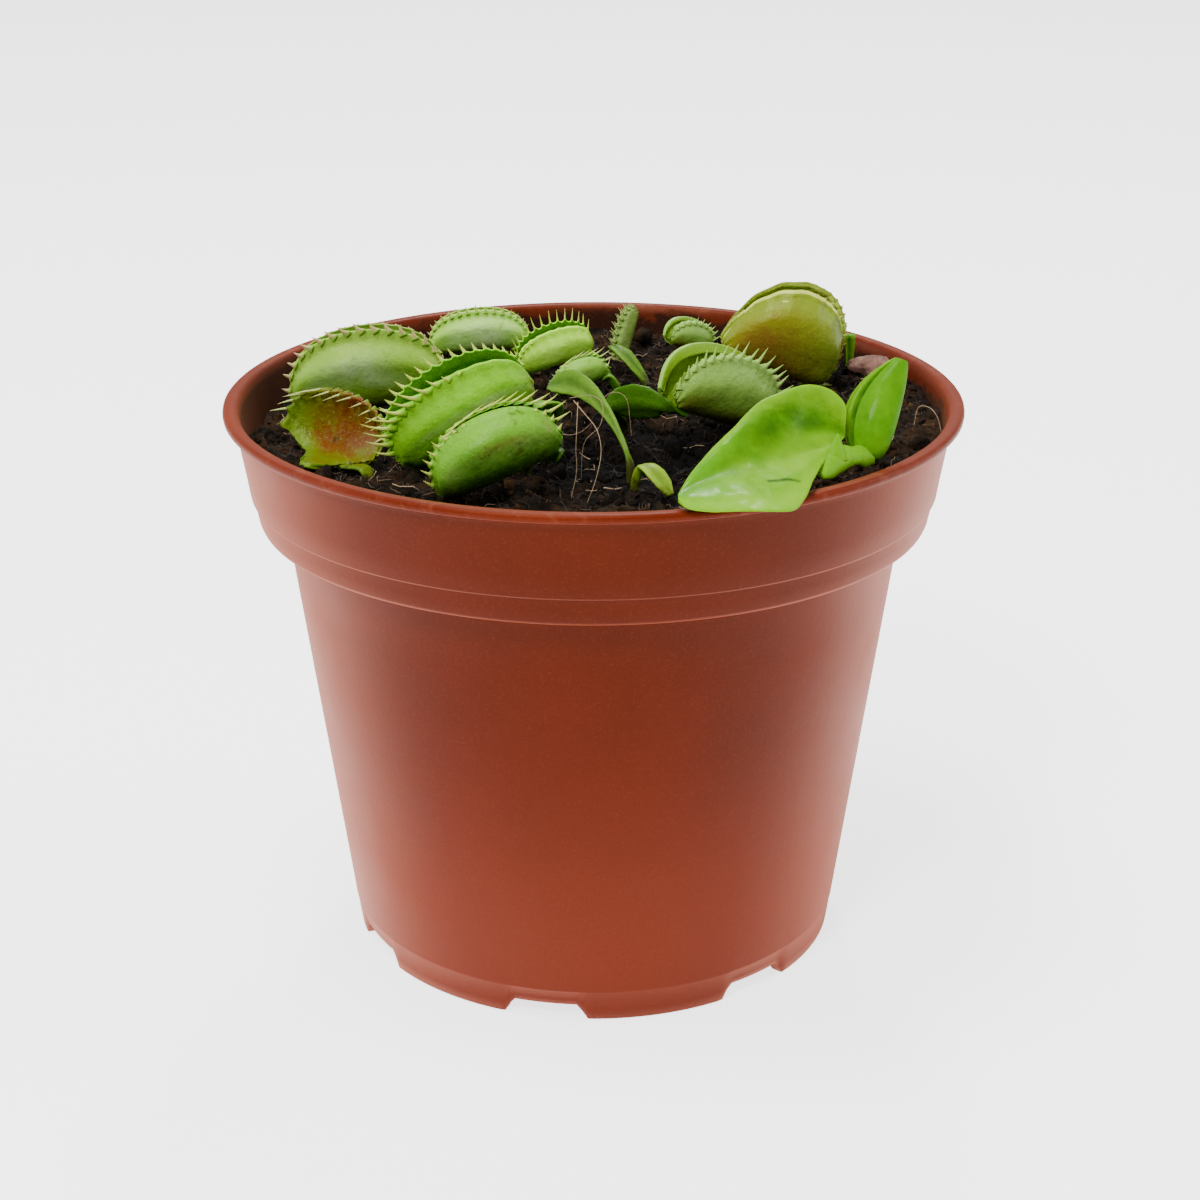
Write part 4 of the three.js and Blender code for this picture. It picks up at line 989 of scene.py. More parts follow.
def pot_profile(rim):
    """Rows of radius, height, lip and inside round the pot's section: from the floor's underside
    out, up the wall, over the lip and down inside."""
    neck = POT_HEIGHT - LIP_THICKNESS
    floor_top = FLOOR_UNDERSIDE + FLOOR_THICKNESS
    seam_in = SEAM_RADIUS - SEAM_STEP
    outside = [
        (0.01, FLOOR_UNDERSIDE), (12, FLOOR_UNDERSIDE), (29.0, FLOOR_UNDERSIDE), (29.1, 2.5),
        (29.1, 0.1), (29.25, 0), (30.6, 0), (FOOT_RADIUS, 0.15), (31.0, 1.5), (31.3, 3.9),
        (31.38, 4.0), (31.42, 4.3), (33.2, 18), (35.3, 34), (37.0, 47), (37.95, 54.4),
        (38.2, 55.2), (38.9, 55.6), (40.7, COLLAR_BOTTOM), (41.15, 55.8), (41.33, 56.2),
        (41.6, 57.6), (seam_in - 0.02, 58.9), (seam_in + 0.02, 59.05),
        (SEAM_RADIUS - 0.08, 59.12), (SEAM_RADIUS, SEAM_HEIGHT), (42.6, 62), (43.1, 65),
        (43.5, 67.5),
    ]
    lip = [
        (LIP_NECK, neck - 0.35, 0.2, 0), (43.8, neck - 0.08, 0.5, 0), (44.2, neck, 0.8, 0),
        (rim - 0.22, neck + 0.06, 1, 0), (rim - 0.05, neck + 0.24, 1, 0), (rim, neck + 0.55, 1, 0),
        (rim - 0.06, POT_HEIGHT - 0.25, 1, 0), (rim - 0.25, POT_HEIGHT - 0.06, 1, 0),
        (rim - 0.5, POT_HEIGHT, 1, 0), (rim - 1.1, POT_HEIGHT - 0.02, 1, 0),
        (LIP_INNER, POT_HEIGHT - 0.12, 0.8, 0.2), (43.1, POT_HEIGHT - 0.5, 0.4, 0.6),
    ]
    inside = [
        (42.85, neck - 0.3), (42.2, 64), (SEAM_RADIUS - WALL, SEAM_HEIGHT), (40.2, 56.6),
        (37.2, 54.8), (34.0, 34), (31.0, 12), (29.6, 4.2), (FLOOR_RADIUS, floor_top),
        (12, floor_top), (0.01, floor_top),
    ]
    return np.array([(*row, 0, 0) for row in outside] + lip + [(*row, 0, 1) for row in inside])


def drain_holes(pot):
    """Cuts the round drain holes through the floor with one applied Boolean."""
    places = [(MIDDLE_DRAIN_RADIUS, 0.0, 0.0)]
    for k in range(NOTCHES):
        bearing = math.radians(FIRST_NOTCH + 360 / NOTCHES * k + 180 / NOTCHES)
        x, y = DRAIN_DISTANCE * math.sin(bearing), -DRAIN_DISTANCE * math.cos(bearing)
        places.append((DRAIN_RADIUS, x, y))
    turn = around(DRAIN_SIDES)
    cutter = Surface()
    tubes(cutter, np.array([[np.column_stack([x + radius * np.cos(turn), y + radius * np.sin(turn),
                                              np.full(DRAIN_SIDES, z)]) for z in (1.0, 5.5)]
                            for radius, x, y in places]))
    mesh = bpy.data.meshes.new("drain_cutter")
    faces = cutter.quads[0].tolist() + cutter.triangles[0].tolist()
    mesh.from_pydata((cutter.vertices[0] * MM).tolist(), [], faces)
    tool = show("drain_cutter", mesh)
    modifier = pot.modifiers.new("drains", "BOOLEAN")
    modifier.object = tool
    modifier.solver = "EXACT"
    bpy.context.view_layer.update()
    shape = pot.evaluated_get(bpy.context.evaluated_depsgraph_get())
    cut = bpy.data.meshes.new_from_object(shape)
    pot.modifiers.clear()
    pot.data = cut
    bpy.data.objects.remove(tool)


# Soil

PEAT_RINGS, PEAT_SIDES, PEAT_EDGE, PEAT_WALL_GAP = 170, 330, 42.0, 0.12
WALL_SLOPE = 0.155

# Radius and height down the peat's buried side
PEAT_FLANK = ((41.0, 59.4), (39.6, 57.0), (36.6, 55.0), (29.2, 5.0), (28.2, 4.0))

# How far out from the middle each kind of loose peat is laid
CRUMB_REACH, CLOD_REACH, FIBRE_REACH, FIBRE_END = 41.6, 39.5, 40.5, 41.6
SMALLEST_CRUMB, LARGEST_CRUMB, CRUMBS_END = 0.14, 1.6, 43.0
CLODS = 90
CLOD_HALVES = np.array([1.2, 0.9, 0.6])
CLOD_AROUND, CLOD_RAISED = 2.2, 0.15

# A fibre's radius at its points, as shares
FIBRE_SHARES = np.array([1.0, 1.0, 0.9, 0.7, 0.35])

# Name, number, length, radius
FIBRES = [("peat_fibres", 1500, 2.6, 0.06), ("peat_straws", 60, 5.0, 0.045)]


def loose_height(x, y):
    """The peat before anything presses it: a level with slow lumps, higher at the right and at
    the back, a broad and a deeper dent in the middle, and a level seat under the bark chip."""
    lumps = (0.35 * np.sin(x * 0.55 + 1.3 * np.sin(y * 0.31))
             + 0.3 * np.sin(y * 0.62 + 1.1 * np.sin(x * 0.27) + 2) + 0.2 * np.sin((x + y) * 0.93))
    rise = 3 * smoothstep(x, 20, 42)
    back = 1.5 * smoothstep(y, 14, 36)
    dents = 0.9 * np.exp(-((x - 3) ** 2 + (y + 8) ** 2) / 90)
    dents = dents + 2.0 * np.exp(-((x - HOLLOW[0]) ** 2 + (y - HOLLOW[1]) ** 2) / 110)
    seat = 1 - smoothstep(np.hypot(x - CHIP["at"][0], y - CHIP["at"][1]), 4, 7.5)
    height = SOIL_LEVEL + lumps + np.maximum(rise, back) - dents
    return height * (1 - seat) + (CHIP["at"][2] - 0.3) * seat


class PeatSurface:
    """The peat's height on a square grid of half millimetres, pressed under the leaves: no
    place may be higher than a leaf's underside less a gap, and the banks round it are held to
    a slope, by repeated passes over the four neighbours."""

    STEP = 0.5
    HALF = 44.0
    LAST = int(2 * HALF / STEP)
    CLEARANCE = 0.12
    SLOPE = 1.1
    PASSES = 14
    STEM_ROOM = 1.3

    def __init__(self, leaf_vertices, roots):
        line = np.arange(-self.HALF, self.HALF + self.STEP / 2, self.STEP)
        x, y = np.meshgrid(line, line, indexing="ij")
        height = loose_height(x, y)
        height += 0.35 * waves(11, np.stack([x, y], -1), 3.4, 24)
        limit = np.full_like(height, 1e3)
        low = leaf_vertices[leaf_vertices[:, 2] > SOIL_LEVEL + 0.2]
        for root in roots:
            low = low[np.hypot(low[:, 0] - root[0], low[:, 1] - root[1]) > self.STEM_ROOM]
        np.minimum.at(limit, self.cell(low[:, 0], low[:, 1]), low[:, 2] - self.CLEARANCE)
        for axis in (0, 1):
            limit = np.minimum(limit, np.minimum(np.roll(limit, 1, axis),
                                                 np.roll(limit, -1, axis)))
        height = np.minimum(height, limit)
        for _ in range(self.PASSES):
            for axis in (0, 1):
                for shift in (1, -1):
                    bank = np.roll(height, shift, axis) + self.SLOPE * self.STEP
                    height = np.minimum(height, bank)
        self.height = height
        self.room = np.clip(limit - height, 0, 5)

    def cell(self, x, y):
        """The nearest point of the grid."""
        return tuple(np.clip(((part + self.HALF) / self.STEP).round().astype(int), 0, self.LAST)
                     for part in (x, y))

    def room_at(self, x, y):
        """Free height under the leaves, at the nearest point of the grid."""
        return self.room[self.cell(x, y)]

    def at(self, x, y):
        """Height at places, straight between the grid's points."""
        u, v = (np.clip((part + self.HALF) / self.STEP, 0, self.LAST - 0.001) for part in (x, y))
        i, j = u.astype(int), v.astype(int)
        fu, fv = u - i, v - j
        h = self.height
        return (h[i, j] * (1 - fu) * (1 - fv) + h[i + 1, j] * fu * (1 - fv)
                + h[i, j + 1] * (1 - fu) * fv + h[i + 1, j + 1] * fu * fv)


def wall_inside(height):
    """Radius of the pot's inner wall at a height, above the seam."""
    return SEAM_RADIUS - WALL + (height - SEAM_HEIGHT) * WALL_SLOPE


def add_peat(surface, peat):
    """The peat as a disc of rings and its buried side. Fine relief is added to the heights by
    two sizes of random waves, the larger sharpened by taking 1 - |wave|."""
    share = np.linspace(0.004, 1, PEAT_RINGS)[:, None] * PEAT_EDGE
    cos, sin = np.cos(around(PEAT_SIDES)), np.sin(around(PEAT_SIDES))
    x, y = share * cos, share * sin
    flat = np.stack([x, y], -1)
    sharp = 1 - np.abs(waves(21, flat, 2.2, 18))
    z = peat.at(x, y) + 0.45 * (sharp - 0.6) + 0.22 * waves(22, flat, 0.9, 18)
    limit = wall_inside(z[-1]) - PEAT_WALL_GAP
    x[-1], y[-1] = limit * cos, limit * sin
    side = [np.stack([radius * cos, radius * sin, np.full(PEAT_SIDES, height)], -1)
            for radius, height in PEAT_FLANK]
    tube(surface, np.concatenate([np.stack([x, y, z], -1), side]), tone=0.0)


def ball(rings, sides):
    """A unit ball: its rings. The two poles' fans come from tubes."""
    lat = np.linspace(-1, 1, rings + 2)[1:-1, None] * math.pi / 2
    lon = around(sides)
    return np.stack([np.cos(lat) * np.cos(lon), np.cos(lat) * np.sin(lon),
                     np.broadcast_to(np.sin(lat), (rings, sides))], -1)


def scatter(rng, reach, count=None):
    """Places spread evenly over a disc: x, y and the distance from its middle."""
    distance, bearing = reach * np.sqrt(rng.uniform(0, 1, count)), rng.uniform(0, TURN, count)
    return distance * np.cos(bearing), distance * np.sin(bearing), distance


def add_crumbs(surface, rng, peat, count):
    """Crumbs: a small ball stretched along three random axes, with each corner moved in or out,
    and no larger than the room under the leaves lets it be. All are worked out at once: crumb,
    ring, side, place."""
    x, y, distance = scatter(rng, CRUMB_REACH, count)
    size = np.clip(rng.lognormal(-0.95, 0.55, count), SMALLEST_CRUMB, LARGEST_CRUMB)
    size = np.minimum(size, (CRUMBS_END - distance) * 0.9)
    size = np.minimum(size, SMALLEST_CRUMB + 0.7 * peat.room_at(x, y))
    z = peat.at(x, y) + size * rng.uniform(-0.35, 0.2, count)
    tone = rng.uniform(0, 1, (count, 1, 1)) ** 3
    form = ball(3, 6)[None] * rng.uniform(0.55, 1.3, (count, 3, 6))[..., None]
    turn = np.linalg.qr(rng.normal(size=(count, 3, 3)))[0]
    stretch = size[:, None] * rng.uniform(0.4, 1.35, (count, 3))
    rings = np.einsum("nijk,nk,nkl->nijl", form, stretch, turn)
    tubes(surface, rings + np.stack([x, y, z], -1)[:, None, None], tone=tone)


def add_clods(surface, rng, peat):
    """Larger clods of peat that stand half out of it: a ball of 12 by 18 corners, stretched and
    roughened by two sizes of random waves."""
    form = ball(12, 18)
    ring = CLOD_AROUND * np.cos(around(8)), CLOD_AROUND * np.sin(around(8))
    for number in range(CLODS):
        x, y, _ = scatter(rng, CLOD_REACH)
        free = peat.room_at(x + ring[0], y + ring[1]).min()
        size = rng.uniform(0.7, 1.3) * CLOD_HALVES * rng.uniform(0.7, 1.2, 3)
        size = size * min(1.0, 0.3 + free / 2)
        rough = 1 + 0.28 * waves(500 + number, form, 1.2) + 0.14 * waves(800 + number, form, 0.5)
        spun = spin(form * rough[..., None] * size, rng.uniform(0, TURN))
        low = peat.at(x + spun[..., 0], y + spun[..., 1]).min()
        tube(surface, spun + [x, y, low + CLOD_RAISED], tone=rng.uniform(0, 0.8))


def add_strand(surface, path, radius):
    """A thin round strand along a path, tapering to a third at its end."""
    rows, tangent = smooth_path(path, 8)
    side = unit(np.cross(tangent, [0.3, 0.2, 1.0]))
    taper = np.linspace(1, 0.35, len(rows))[:, None] * radius
    p = around(6)
    tube(surface, sections(rows, side, np.cross(side, tangent), taper * np.cos(p),
                           taper * np.sin(p)))


def add_fibres(surface, rng, peat, count, reach, radius):
    """Short fibres on the peat: each a line of five points that turns a little at every step
    and rides just over the peat, with a four-sided section."""
    steps = len(FIBRE_SHARES)
    x, y, _ = scatter(rng, FIBRE_REACH, (count, 1))
    heading = rng.uniform(0, TURN, (count, 1)) + np.cumsum(rng.normal(0, 0.45, (count, steps)), 1)
    step = reach * rng.uniform(0.5, 1.3, (count, 1)) / steps
    x, y = x + np.cumsum(step * np.cos(heading), 1), y + np.cumsum(step * np.sin(heading), 1)
    kept = np.hypot(x, y).max(1) < FIBRE_END
    x, y, heading = x[kept], y[kept], heading[kept]
    z = peat.at(x, y) + 0.35 + rng.uniform(-0.25, 0.45, x.shape)
    size = radius * rng.uniform(0.6, 1.3, (len(x), 1, 1, 1)) * FIBRE_SHARES[:, None, None]
    side = np.stack([-np.sin(heading), np.cos(heading), 0 * heading], -1)
    turn = around(4)[:, None]
    rim = side[:, :, None] * np.cos(turn) + np.array([0, 0, 1.0]) * np.sin(turn)
    tubes(surface, np.stack([x, y, z], -1)[:, :, None] + size * rim,
          tone=rng.uniform(0, 1, (len(x), 1, 1)))


# Large leaf


def add_blade(surface):
    """The large leaf. Across it runs the parabola through the lower edge, the rib and the upper
    edge, met in proportion to their distances, with a soft swelling on each side of the rib,
    slow waves, and a thickness that closes to a thin rim as a high power of the way out. Painted
    shade darkens its upper half and a painted highlight lightens its lower half. A dark scratch
    lies within 0.3 mm of the mark."""
    curves = []
    for key in ("lower", "rib", "upper"):
        rows, _ = smooth_path(BLADE[key], 40)
        at = np.linspace(0, len(rows) - 1, BLADE_STATIONS)
        low = np.minimum(at.astype(int), len(rows) - 2)
        curves.append(rows[low] + (rows[low + 1] - rows[low]) * (at - low)[:, None])
    lower, rib, upper = curves
    along = np.linspace(0, 1, BLADE_STATIONS)[:, None]
    down = np.linalg.norm(lower - rib, axis=1)
    met = (down / (down + np.linalg.norm(upper - rib, axis=1)))[:, None, None]
    met = np.clip(met, 0.3, 0.7)
    v = np.linspace(0, 1, BLADE_STEPS)[None, :, None]
    middle = (lower[:, None] * (v - met) * (v - 1) / met
              + rib[:, None] * v * (v - 1) / (met * (met - 1))
              + upper[:, None] * v * (v - met) / (1 - met))
    tangent = unit(np.gradient(rib, axis=0))
    normal = unit(np.cross(tangent, upper - lower))
    normal = normal * np.where(normal[:, 2:] < 0, -1, 1)
    v, met = v[..., 0], met[..., 0]
    size = np.where(v < met, (met - v) / met, (v - met) / (1 - met))
    swell = np.sin(math.pi * along)
    lift = BLADE_SWELLING * np.sin(math.pi * size) ** 2 * swell - 0.05 * bell(size, 0.2) * swell
    lift = lift + BLADE_WAVES * waves(31, middle, 11.0) * size
    lift = lift + BLADE_RIPPLES * waves(32, middle, 2.6)
    middle = middle + normal[:, None] * lift[..., None]
    half = LEAF_THICKNESS / 2 * np.sqrt(np.clip(1.02 - size**8, 0.02, 1))
    thick = normal[:, None] * half[..., None]
    rings = np.concatenate([middle + thick, (middle - thick)[:, ::-1]], axis=1)
    # Painted shade over the upper half and a painted highlight over the lower half, carried as the
    # blush and bloom values
    shade = smoothstep(v, 0.45, 0.7) * smoothstep(along, 0.25, 0.6) * 0.8 * (1 - size**6)
    gleam = bell(v - 0.3, 0.3) * smoothstep(along, 0.1, 0.5) * 0.7
    margin, shade, gleam = (np.concatenate([part, part[:, ::-1]], 1)
                            for part in (size, shade, gleam))
    scratch = np.full(rings.shape[:2], 9.0)
    for start, end in zip(BLADE_MARK[:-1], BLADE_MARK[1:]):
        way = np.subtract(end, start)
        share = np.clip((rings[..., :2] - start) @ way / (way @ way), 0, 1)
        away = np.linalg.norm(rings[..., :2] - start - share[..., None] * way, axis=-1)
        scratch = np.minimum(scratch, away)
    shade = np.maximum(shade, bell(scratch, SCRATCH_REACH, 4))
    tube(surface, rings, margin=margin, inside=0.0, tooth=0.0, blush=shade, bloom=gleam)


def add_neck(surface):
    """The fleshy neck between blade and bud and the spur that rises from it: an ellipse along a
    path of x, y, z and half width, three fifths as thick as it is wide, and at most 1 mm."""
    for path in (BUD["neck"], BUD["spur"]):
        rows, tangent = smooth_path(path, NECK_STEPS)
        up = unit(np.cross(tangent, [1.0, 0.3, -0.6]))
        p = around(NECK_SIDES)
        wide = rows[:, 3][:, None]
        rings = sections(rows, np.cross(tangent, up), up, wide * np.cos(p),
                         np.minimum(0.6 * wide, NECK_MOST_THICK) * np.sin(p))
        tube(surface, rings, margin=0.7, inside=0.0, tooth=0.0, matt=0.8)


def add_bud(surface):
    """The closed young trap: a bent almond whose ring at share q has half widths in proportion
    to sin(pi (0.12 + 0.84 q^0.8))^0.62, with two raised lips, the slit between them and a
    furrow beside each, which fade toward its ends. Painted shade darkens the slit and the
    furrows."""
    foot, tip = np.array(BUD["foot"]), np.array(BUD["tip"])
    axis = unit(tip - foot)
    length = np.linalg.norm(tip - foot)
    side = np.array([0.8, -0.5, -0.2])
    side = unit(side - axis * (side @ axis))
    q = np.linspace(0, 1, BUD_RINGS)[:, None]
    plump = np.sin(math.pi * (0.12 + 0.84 * q**0.8)) ** 0.62
    turn = around(BUD_SIDES)[None, :]
    seam = (turn - BUD["seam"] * math.pi + math.pi) % TURN - math.pi
    off = np.abs(seam)
    furrow = bell(off - BUD_FURROW_AT, BUD_FURROW_WIDTH)
    lips = BUD_LIP_HEIGHT * bell(off - BUD_LIP_AT, BUD_LIP_WIDTH)
    lips = lips - BUD_SLIT_DEPTH * bell(seam, BUD_SLIT_WIDTH) - BUD_FURROW_DEPTH * furrow
    fading = np.sin(math.pi * q) ** 0.35
    radius = plump * (1 + lips * fading)
    centre = foot + axis * length * q - side * BUD_BEND * np.sin(math.pi * q)
    rings = (centre[:, None] + side * (BUD["half"][0] * radius * np.cos(turn))[..., None]
             + np.cross(axis, side) * (BUD["half"][1] * radius * np.sin(turn))[..., None])
    # Painted shade in the slit and the furrows, carried as the blush value over the bud's own darker
    # tone
    dark = bell(seam, 0.09) + furrow
    tube(surface, rings, margin=0.3 + 0.65 * bell(off - BUD_LIP_AT, 0.12), inside=0.0, tooth=0.0,
         blush=np.clip(dark * fading + 0.34, 0, 1), matt=0.8)


# Settings, operators and panel


def tint_field(name, description, default):
    """A colour in the sidebar."""
    return FloatVectorProperty(name=name, description=description, default=default,
                               subtype="COLOR", min=0, max=1)


def factor_field(name, description, default, least=0.0, most=4.0):
    """A factor in the sidebar."""
    return FloatProperty(name=name, description=description, default=default, min=least,
                         max=most, subtype="FACTOR")


class PotSettings(bpy.types.PropertyGroup):
    """Sizes and colour of the pot."""

    rim_radius: FloatProperty(
        name="Rim radius", description="Outer radius of the rolled lip",
        default=RIM_RADIUS * MM, unit="LENGTH")
    segments: IntProperty(
        name="Segments", description="Steps round the pot", default=280, min=48, max=512)
    colour: tint_field("Plastic", "Base colour of the terracotta plastic", colour(80, 18, 4)[:3])


class SoilSettings(bpy.types.PropertyGroup):
    """Amount and colour of the peat."""

    crumbs: IntProperty(
        name="Crumbs", description="Loose crumbs on the peat", default=5200, min=0, max=8000)
    colour: tint_field("Peat", "Base colour of the damp peat", colour(13, 9, 4)[:3])


class LeafSettings(bpy.types.PropertyGroup):
    """Sizes of the leaves' details."""

    tooth_length: factor_field(
        "Tooth length", "Length of the marginal teeth against the table's", 1.0, 0.2, 2.0)


class StageSettings(bpy.types.PropertyGroup):
    """Floor and light."""

    floor_colour: tint_field("Floor", "Colour of the floor", (0.9, 0.9, 0.9))
    floor_glow: factor_field("Floor glow", "Light that the lit floor sends out by itself", 0.8)
    light: factor_field("Light", "Strength of the studio lights", 1.0)


class FlytrapSettings(bpy.types.PropertyGroup):
    """All settings of the potted plant."""

    pot: PointerProperty(type=PotSettings, name="Pot")
    soil: PointerProperty(type=SoilSettings, name="Soil")
    leaf: PointerProperty(type=LeafSettings, name="Leaves")
    stage: PointerProperty(type=StageSettings, name="Stage")


class FLYTRAP_OT_pot(bpy.types.Operator):
    """Build the pot: a lathed profile whose foot is lifted at the notches"""

    bl_idname = "flytrap.pot"
    bl_label = "Pot"

    def execute(self, context):
        settings = context.scene.flytrap.pot
        profile = pot_profile(settings.rim_radius / MM)
        turn = around(settings.segments)
        radius, height, lip, inner = (profile[:, k][:, None] for k in range(4))
        bearing = np.degrees(turn) + 90
        off = (bearing - FIRST_NOTCH + 180 / NOTCHES) % (360 / NOTCHES) - 180 / NOTCHES
        across = np.abs(np.radians(off)) * FOOT_RADIUS
        lift = NOTCH_HEIGHT * (1 - smoothstep(across, *NOTCH_HALF_WIDTHS))
        outside = (radius > FLOOR_RADIUS) & (height < NOTCH_TOP)
        z = np.where(outside, height + lift * (1 - np.minimum(height, NOTCH_TOP) / NOTCH_TOP),
                     height)
        surface = Surface()
        tube(surface, np.stack([radius * np.cos(turn), radius * np.sin(turn), z], -1),
             lip=lip, inner=inner)
        pot = surface.piece("pot_shell", pot_material(settings), "pot_plastic", ["pot"])
        drain_holes(pot)
        return {"FINISHED"}


class FLYTRAP_OT_traps(bpy.types.Operator):
    """Build the trap leaves: two folded lobes, their teeth and a winged stalk each"""

    bl_idname = "flytrap.traps"
    bl_label = "Trap leaves"

    def execute(self, context):
        factor = context.scene.flytrap.leaf.tooth_length
        for number, (name, trap, end, way, root, finish, slot) in enumerate(LEAVES):
            rng = np.random.default_rng(TOOTH_SEED + number)
            surface = Surface()
            trap = dict(trap, tooth=trap["tooth"] * factor)
            add_lobes(surface, trap, LOBE_SEED + 3 * number)
            for side in (1, -1):
                add_teeth(surface, trap, side, rng)
            start = trap_points(trap, end * STALK_FROM, 0.0)
            shoulder = trap_points(trap, float(end), 0.0)
            shoulder = shoulder + trap_axes(trap)[0] * end * SHOULDER_OUT
            path = [(*start, STALK_FROM_WIDTH), (*shoulder, SHOULDER_WIDTH), *way,
                    *buried_end(root)]
            add_stalk(surface, path, deep=trap["deep"])
            surface.piece(f"{name}_fine", leaf_material(finish), slot, [name])
        return {"FINISHED"}


class FLYTRAP_OT_young_leaves(bpy.types.Operator):
    """Build the young leaves that have no trap yet"""

    bl_idname = "flytrap.young_leaves"
    bl_label = "Young leaves"

    def execute(self, context):
        for name, root, way, finish in YOUNG_LEAVES:
            surface = Surface()
            add_stalk(surface, buried_end(root, YOUNG_HALF_WIDTH)[::-1] + way, YOUNG_FOLD)
            surface.piece(f"{name}_fine", leaf_material(finish), "young_leaf", [name])
        return {"FINISHED"}


class FLYTRAP_OT_large_leaf(bpy.types.Operator):
    """Build the large glossy leaf and its closed young trap"""

    bl_idname = "flytrap.large_leaf"
    bl_label = "Large leaf"

    def execute(self, context):
        surface = Surface()
        add_blade(surface)
        add_stalk(surface, BLADE_STALK + buried_end(BLADE_ROOT))
        add_neck(surface)
        add_bud(surface)
        surface.piece("leaf_large_right_fine", leaf_material("glossy"), "glossy_leaf",
                      ["leaf_large_right"])
        return {"FINISHED"}


class FLYTRAP_OT_peat(bpy.types.Operator):
    """Build the peat with its crumbs, clods, fibres and straws, pressed under the leaves"""

    bl_idname = "flytrap.peat"
    bl_label = "Peat"

    def execute(self, context):
        settings = context.scene.flytrap.soil
        found = []
        for piece in context.scene.objects:
            if piece.type == "MESH" and piece.name.endswith("_fine"):
                column = np.zeros(len(piece.data.vertices) * 3, np.float32)
                piece.data.vertices.foreach_get("co", column)
                found.append(column.reshape(-1, 3) / MM)
        roots = [leaf[4] for leaf in LEAVES] + [leaf[1] for leaf in YOUNG_LEAVES] + [BLADE_ROOT]
        peat = PeatSurface(np.vstack(found), roots)
        material = peat_material(settings)
        plug = Surface()
        add_peat(plug, peat)
        plug.piece("peat_plug", material, "peat", ["soil"])
        rng = np.random.default_rng(PEAT_SEED)
        crumbs, clods = Surface(), Surface()
        add_crumbs(crumbs, rng, peat, settings.crumbs)
        crumbs.piece("peat_crumbs", material, "peat")
        add_clods(clods, rng, peat)
        clods.piece("peat_clods", material, "peat")
        for (name, *sizes), skin in zip(FIBRES, (fibre_material(), rootlet_material())):
            strands = Surface()
            add_fibres(strands, rng, peat, *sizes)
            strands.piece(name, skin, "peat")
        return {"FINISHED"}


# Path and radius
ROOTLETS = [
    ([(-2.3, -14, 73.0), (-1.0, -16, 72.0), (0.4, -18, 70.7), (0.9, -20, 68.8),
      (0.3, -22.5, 66.2), (-0.7, -25, 64.2)], 0.056),
    ([(-1.8, -14, 72.8), (-1.9, -17, 71.0), (-2.0, -19, 68.6), (-1.9, -21, 66.8),
      (-2.5, -24, 64.4)], 0.04),
    ([(-2.8, -13, 73.0), (-0.2, -14, 73.6), (1.0, -15, 73.0), (0.8, -16.5, 70.8),
      (-1.0, -18, 69.2), (-1.4, -19, 65.0)], 0.04),
    ([(-4.8, -16, 70.6), (-3.3, -17, 69.8), (-1.6, -17.5, 70.2), (-0.2, -17, 71.2)], 0.04),
    ([(0.5, -4, 69.6), (2.2, -2, 70.4), (3.8, -3, 70.2), (4.6, -5, 65.8)], 0.042),
    ([(38.2, -7.6, 66.6), (38.8, -8, 70.4), (39.9, -9, 70.6), (40.7, -10.5, 69.8),
      (41.2, -12, 67.6)], 0.055),
]


class FLYTRAP_OT_rootlets(bpy.types.Operator):
    """Build the thin rootlets that stand out of the peat"""

    bl_idname = "flytrap.rootlets"
    bl_label = "Rootlets"

    def execute(self, context):
        surface = Surface()
        for path, radius in ROOTLETS:
            add_strand(surface, path, radius)
        surface.piece("rootlets", rootlet_material(), "peat")
        return {"FINISHED"}


class FLYTRAP_OT_bark(bpy.types.Operator):
    """Build the bark chip: a flat flake with a rough, pitted top"""

    bl_idname = "flytrap.bark"
    bl_label = "Bark chip"

    def execute(self, context):
        form = ball(24, 48)
        form = form * (1 + 0.12 * waves(41, form, 0.9) + 0.05 * waves(42, form, 0.3))[..., None]
        form[..., 2] = np.maximum(form[..., 2], -0.55) + 0.55
        surface = Surface()
        spun = spin(form * np.array(CHIP["half"]), math.radians(CHIP["bearing"]))
        tube(surface, spun + np.array(CHIP["at"]))
        surface.piece("bark_flake", bark_material(), "bark", ["bark_chip"])
        return {"FINISHED"}


# Metres. Lights: name, place, size across, power in watts
LIGHTS = [
    ("key", (-0.15, -0.08, 0.85), 0.3, 5.5),
    ("front", (-0.22, -0.5, 0.62), 0.22, 5.0),
    ("right", (0.8, 0.1, 0.4), 0.5, 2.8),
    ("left", (-0.8, 0.1, 0.4), 0.5, 2.2),
    ("back", (0.05, 0.55, 0.7), 0.12, 2.6),
]
AIM = Vector((0, 0, 0.06))
FLOOR_HALF = 3.0
CAMERA_PLACE = (0.000775, -0.27764, 0.15236)
CAMERA_TILT = 68.411
CAMERA_LENS = 70.73


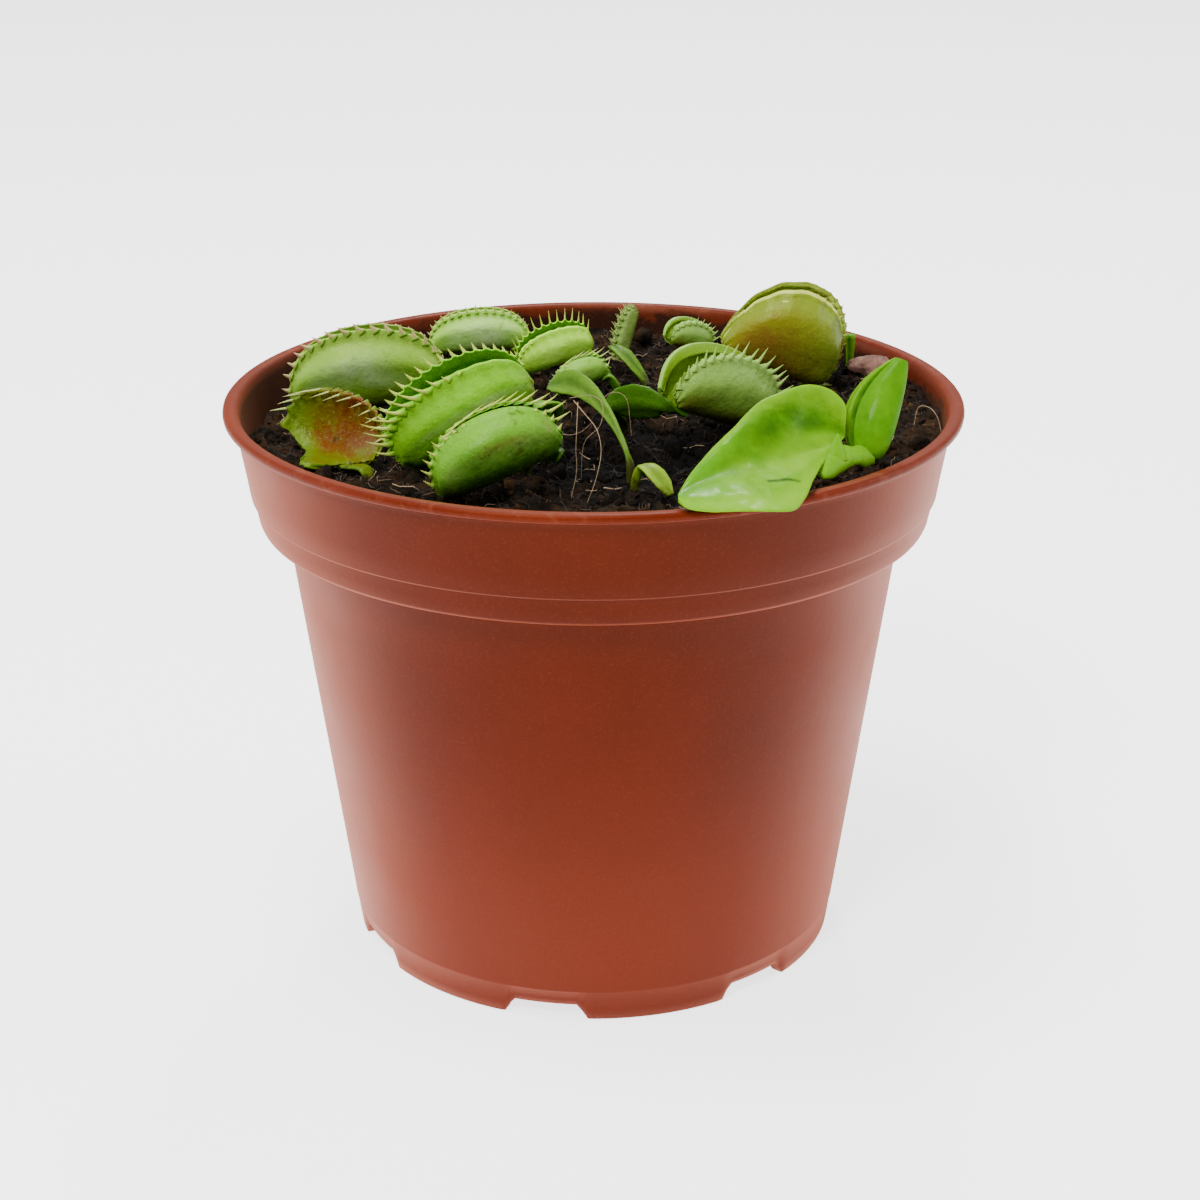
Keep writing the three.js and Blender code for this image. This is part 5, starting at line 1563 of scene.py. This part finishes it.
class FLYTRAP_OT_stage(bpy.types.Operator):
    """Build the floor, the soft lights and the camera"""

    bl_idname = "flytrap.stage"
    bl_label = "Stage"

    def execute(self, context):
        settings = context.scene.flytrap.stage
        mesh = bpy.data.meshes.new("floor")
        corners = ((-1, -1), (1, -1), (1, 1), (-1, 1))
        mesh.from_pydata([(x * FLOOR_HALF, y * FLOOR_HALF, 0) for x, y in corners], [],
                         [(0, 1, 2, 3)])
        material, n, shader = principled("floor")
        seen = n.new("ShaderNodeLightPath").outputs["Is Camera Ray"]
        n.feed(shader, {
            "Base Color": tuple(settings.floor_colour) + (1,), "Roughness": 0.9,
            "Emission Color": n.layers((1, 1, 1, 1), (seen, (3, 3, 3, 1))),
            "Emission Strength": settings.floor_glow,
        })
        mesh.materials.append(material)
        floor = show("floor", mesh)
        world = bpy.data.worlds.new("studio")
        world.use_nodes = True
        sky = Nodes(world.node_tree)
        back = sky.new("ShaderNodeSeparateXYZ", {"Vector": sky.place("Generated")}).outputs["Y"]
        sky.feed(sky.tree.nodes["Background"], {
            "Color": (1, 1, 1, 1),
            "Strength": sky.times(sky.fade(back, -0.7, 0.2, 0.12, 0.5), settings.light),
        })
        context.scene.world = world
        for name, place, size, power in LIGHTS:
            lamp = bpy.data.lights.new(name, "AREA")
            lamp.shape = "DISK"
            lamp.size = size
            lamp.energy = power * settings.light
            light = show(name, lamp)
            light.location = place
            light.rotation_euler = (AIM - light.location).to_track_quat("-Z", "Y").to_euler()
        camera = bpy.data.cameras.new("camera")
        camera.lens = CAMERA_LENS
        camera.sensor_width = 36
        camera.clip_start = 0.01
        seat = show("camera", camera)
        seat.location = CAMERA_PLACE
        seat.rotation_euler = (math.radians(CAMERA_TILT), 0, 0)
        context.scene.camera = seat
        return {"FINISHED"}


OPERATORS = [FLYTRAP_OT_pot, FLYTRAP_OT_traps, FLYTRAP_OT_young_leaves, FLYTRAP_OT_large_leaf,
             FLYTRAP_OT_peat, FLYTRAP_OT_rootlets, FLYTRAP_OT_bark, FLYTRAP_OT_stage]


class FLYTRAP_PT_panel(bpy.types.Panel):
    """The potted plant's settings and its building steps"""

    bl_idname = "FLYTRAP_PT_panel"
    bl_label = "Venus flytrap"
    bl_space_type = "VIEW_3D"
    bl_region_type = "UI"
    bl_category = "Flytrap"

    def draw(self, context):
        settings = context.scene.flytrap
        for key in ("pot", "soil", "leaf", "stage"):
            box = self.layout.box()
            box.label(text=key.capitalize())
            group = getattr(settings, key)
            for field in group.bl_rna.properties:
                if field.identifier not in ("rna_type", "name"):
                    box.prop(group, field.identifier)
        for operator in OPERATORS:
            self.layout.operator(operator.bl_idname)


CLASSES = [PotSettings, SoilSettings, LeafSettings, StageSettings, FlytrapSettings, *OPERATORS,
           FLYTRAP_PT_panel]


def register():
    for kind in CLASSES:
        bpy.utils.register_class(kind)
    bpy.types.Scene.flytrap = PointerProperty(type=FlytrapSettings)


def unregister():
    del bpy.types.Scene.flytrap
    for kind in reversed(CLASSES):
        bpy.utils.unregister_class(kind)


def main():
    register()
    for operator in OPERATORS:
        family, step = operator.bl_idname.split(".")
        getattr(getattr(bpy.ops, family), step)()


if __name__ == "__main__":
    main()
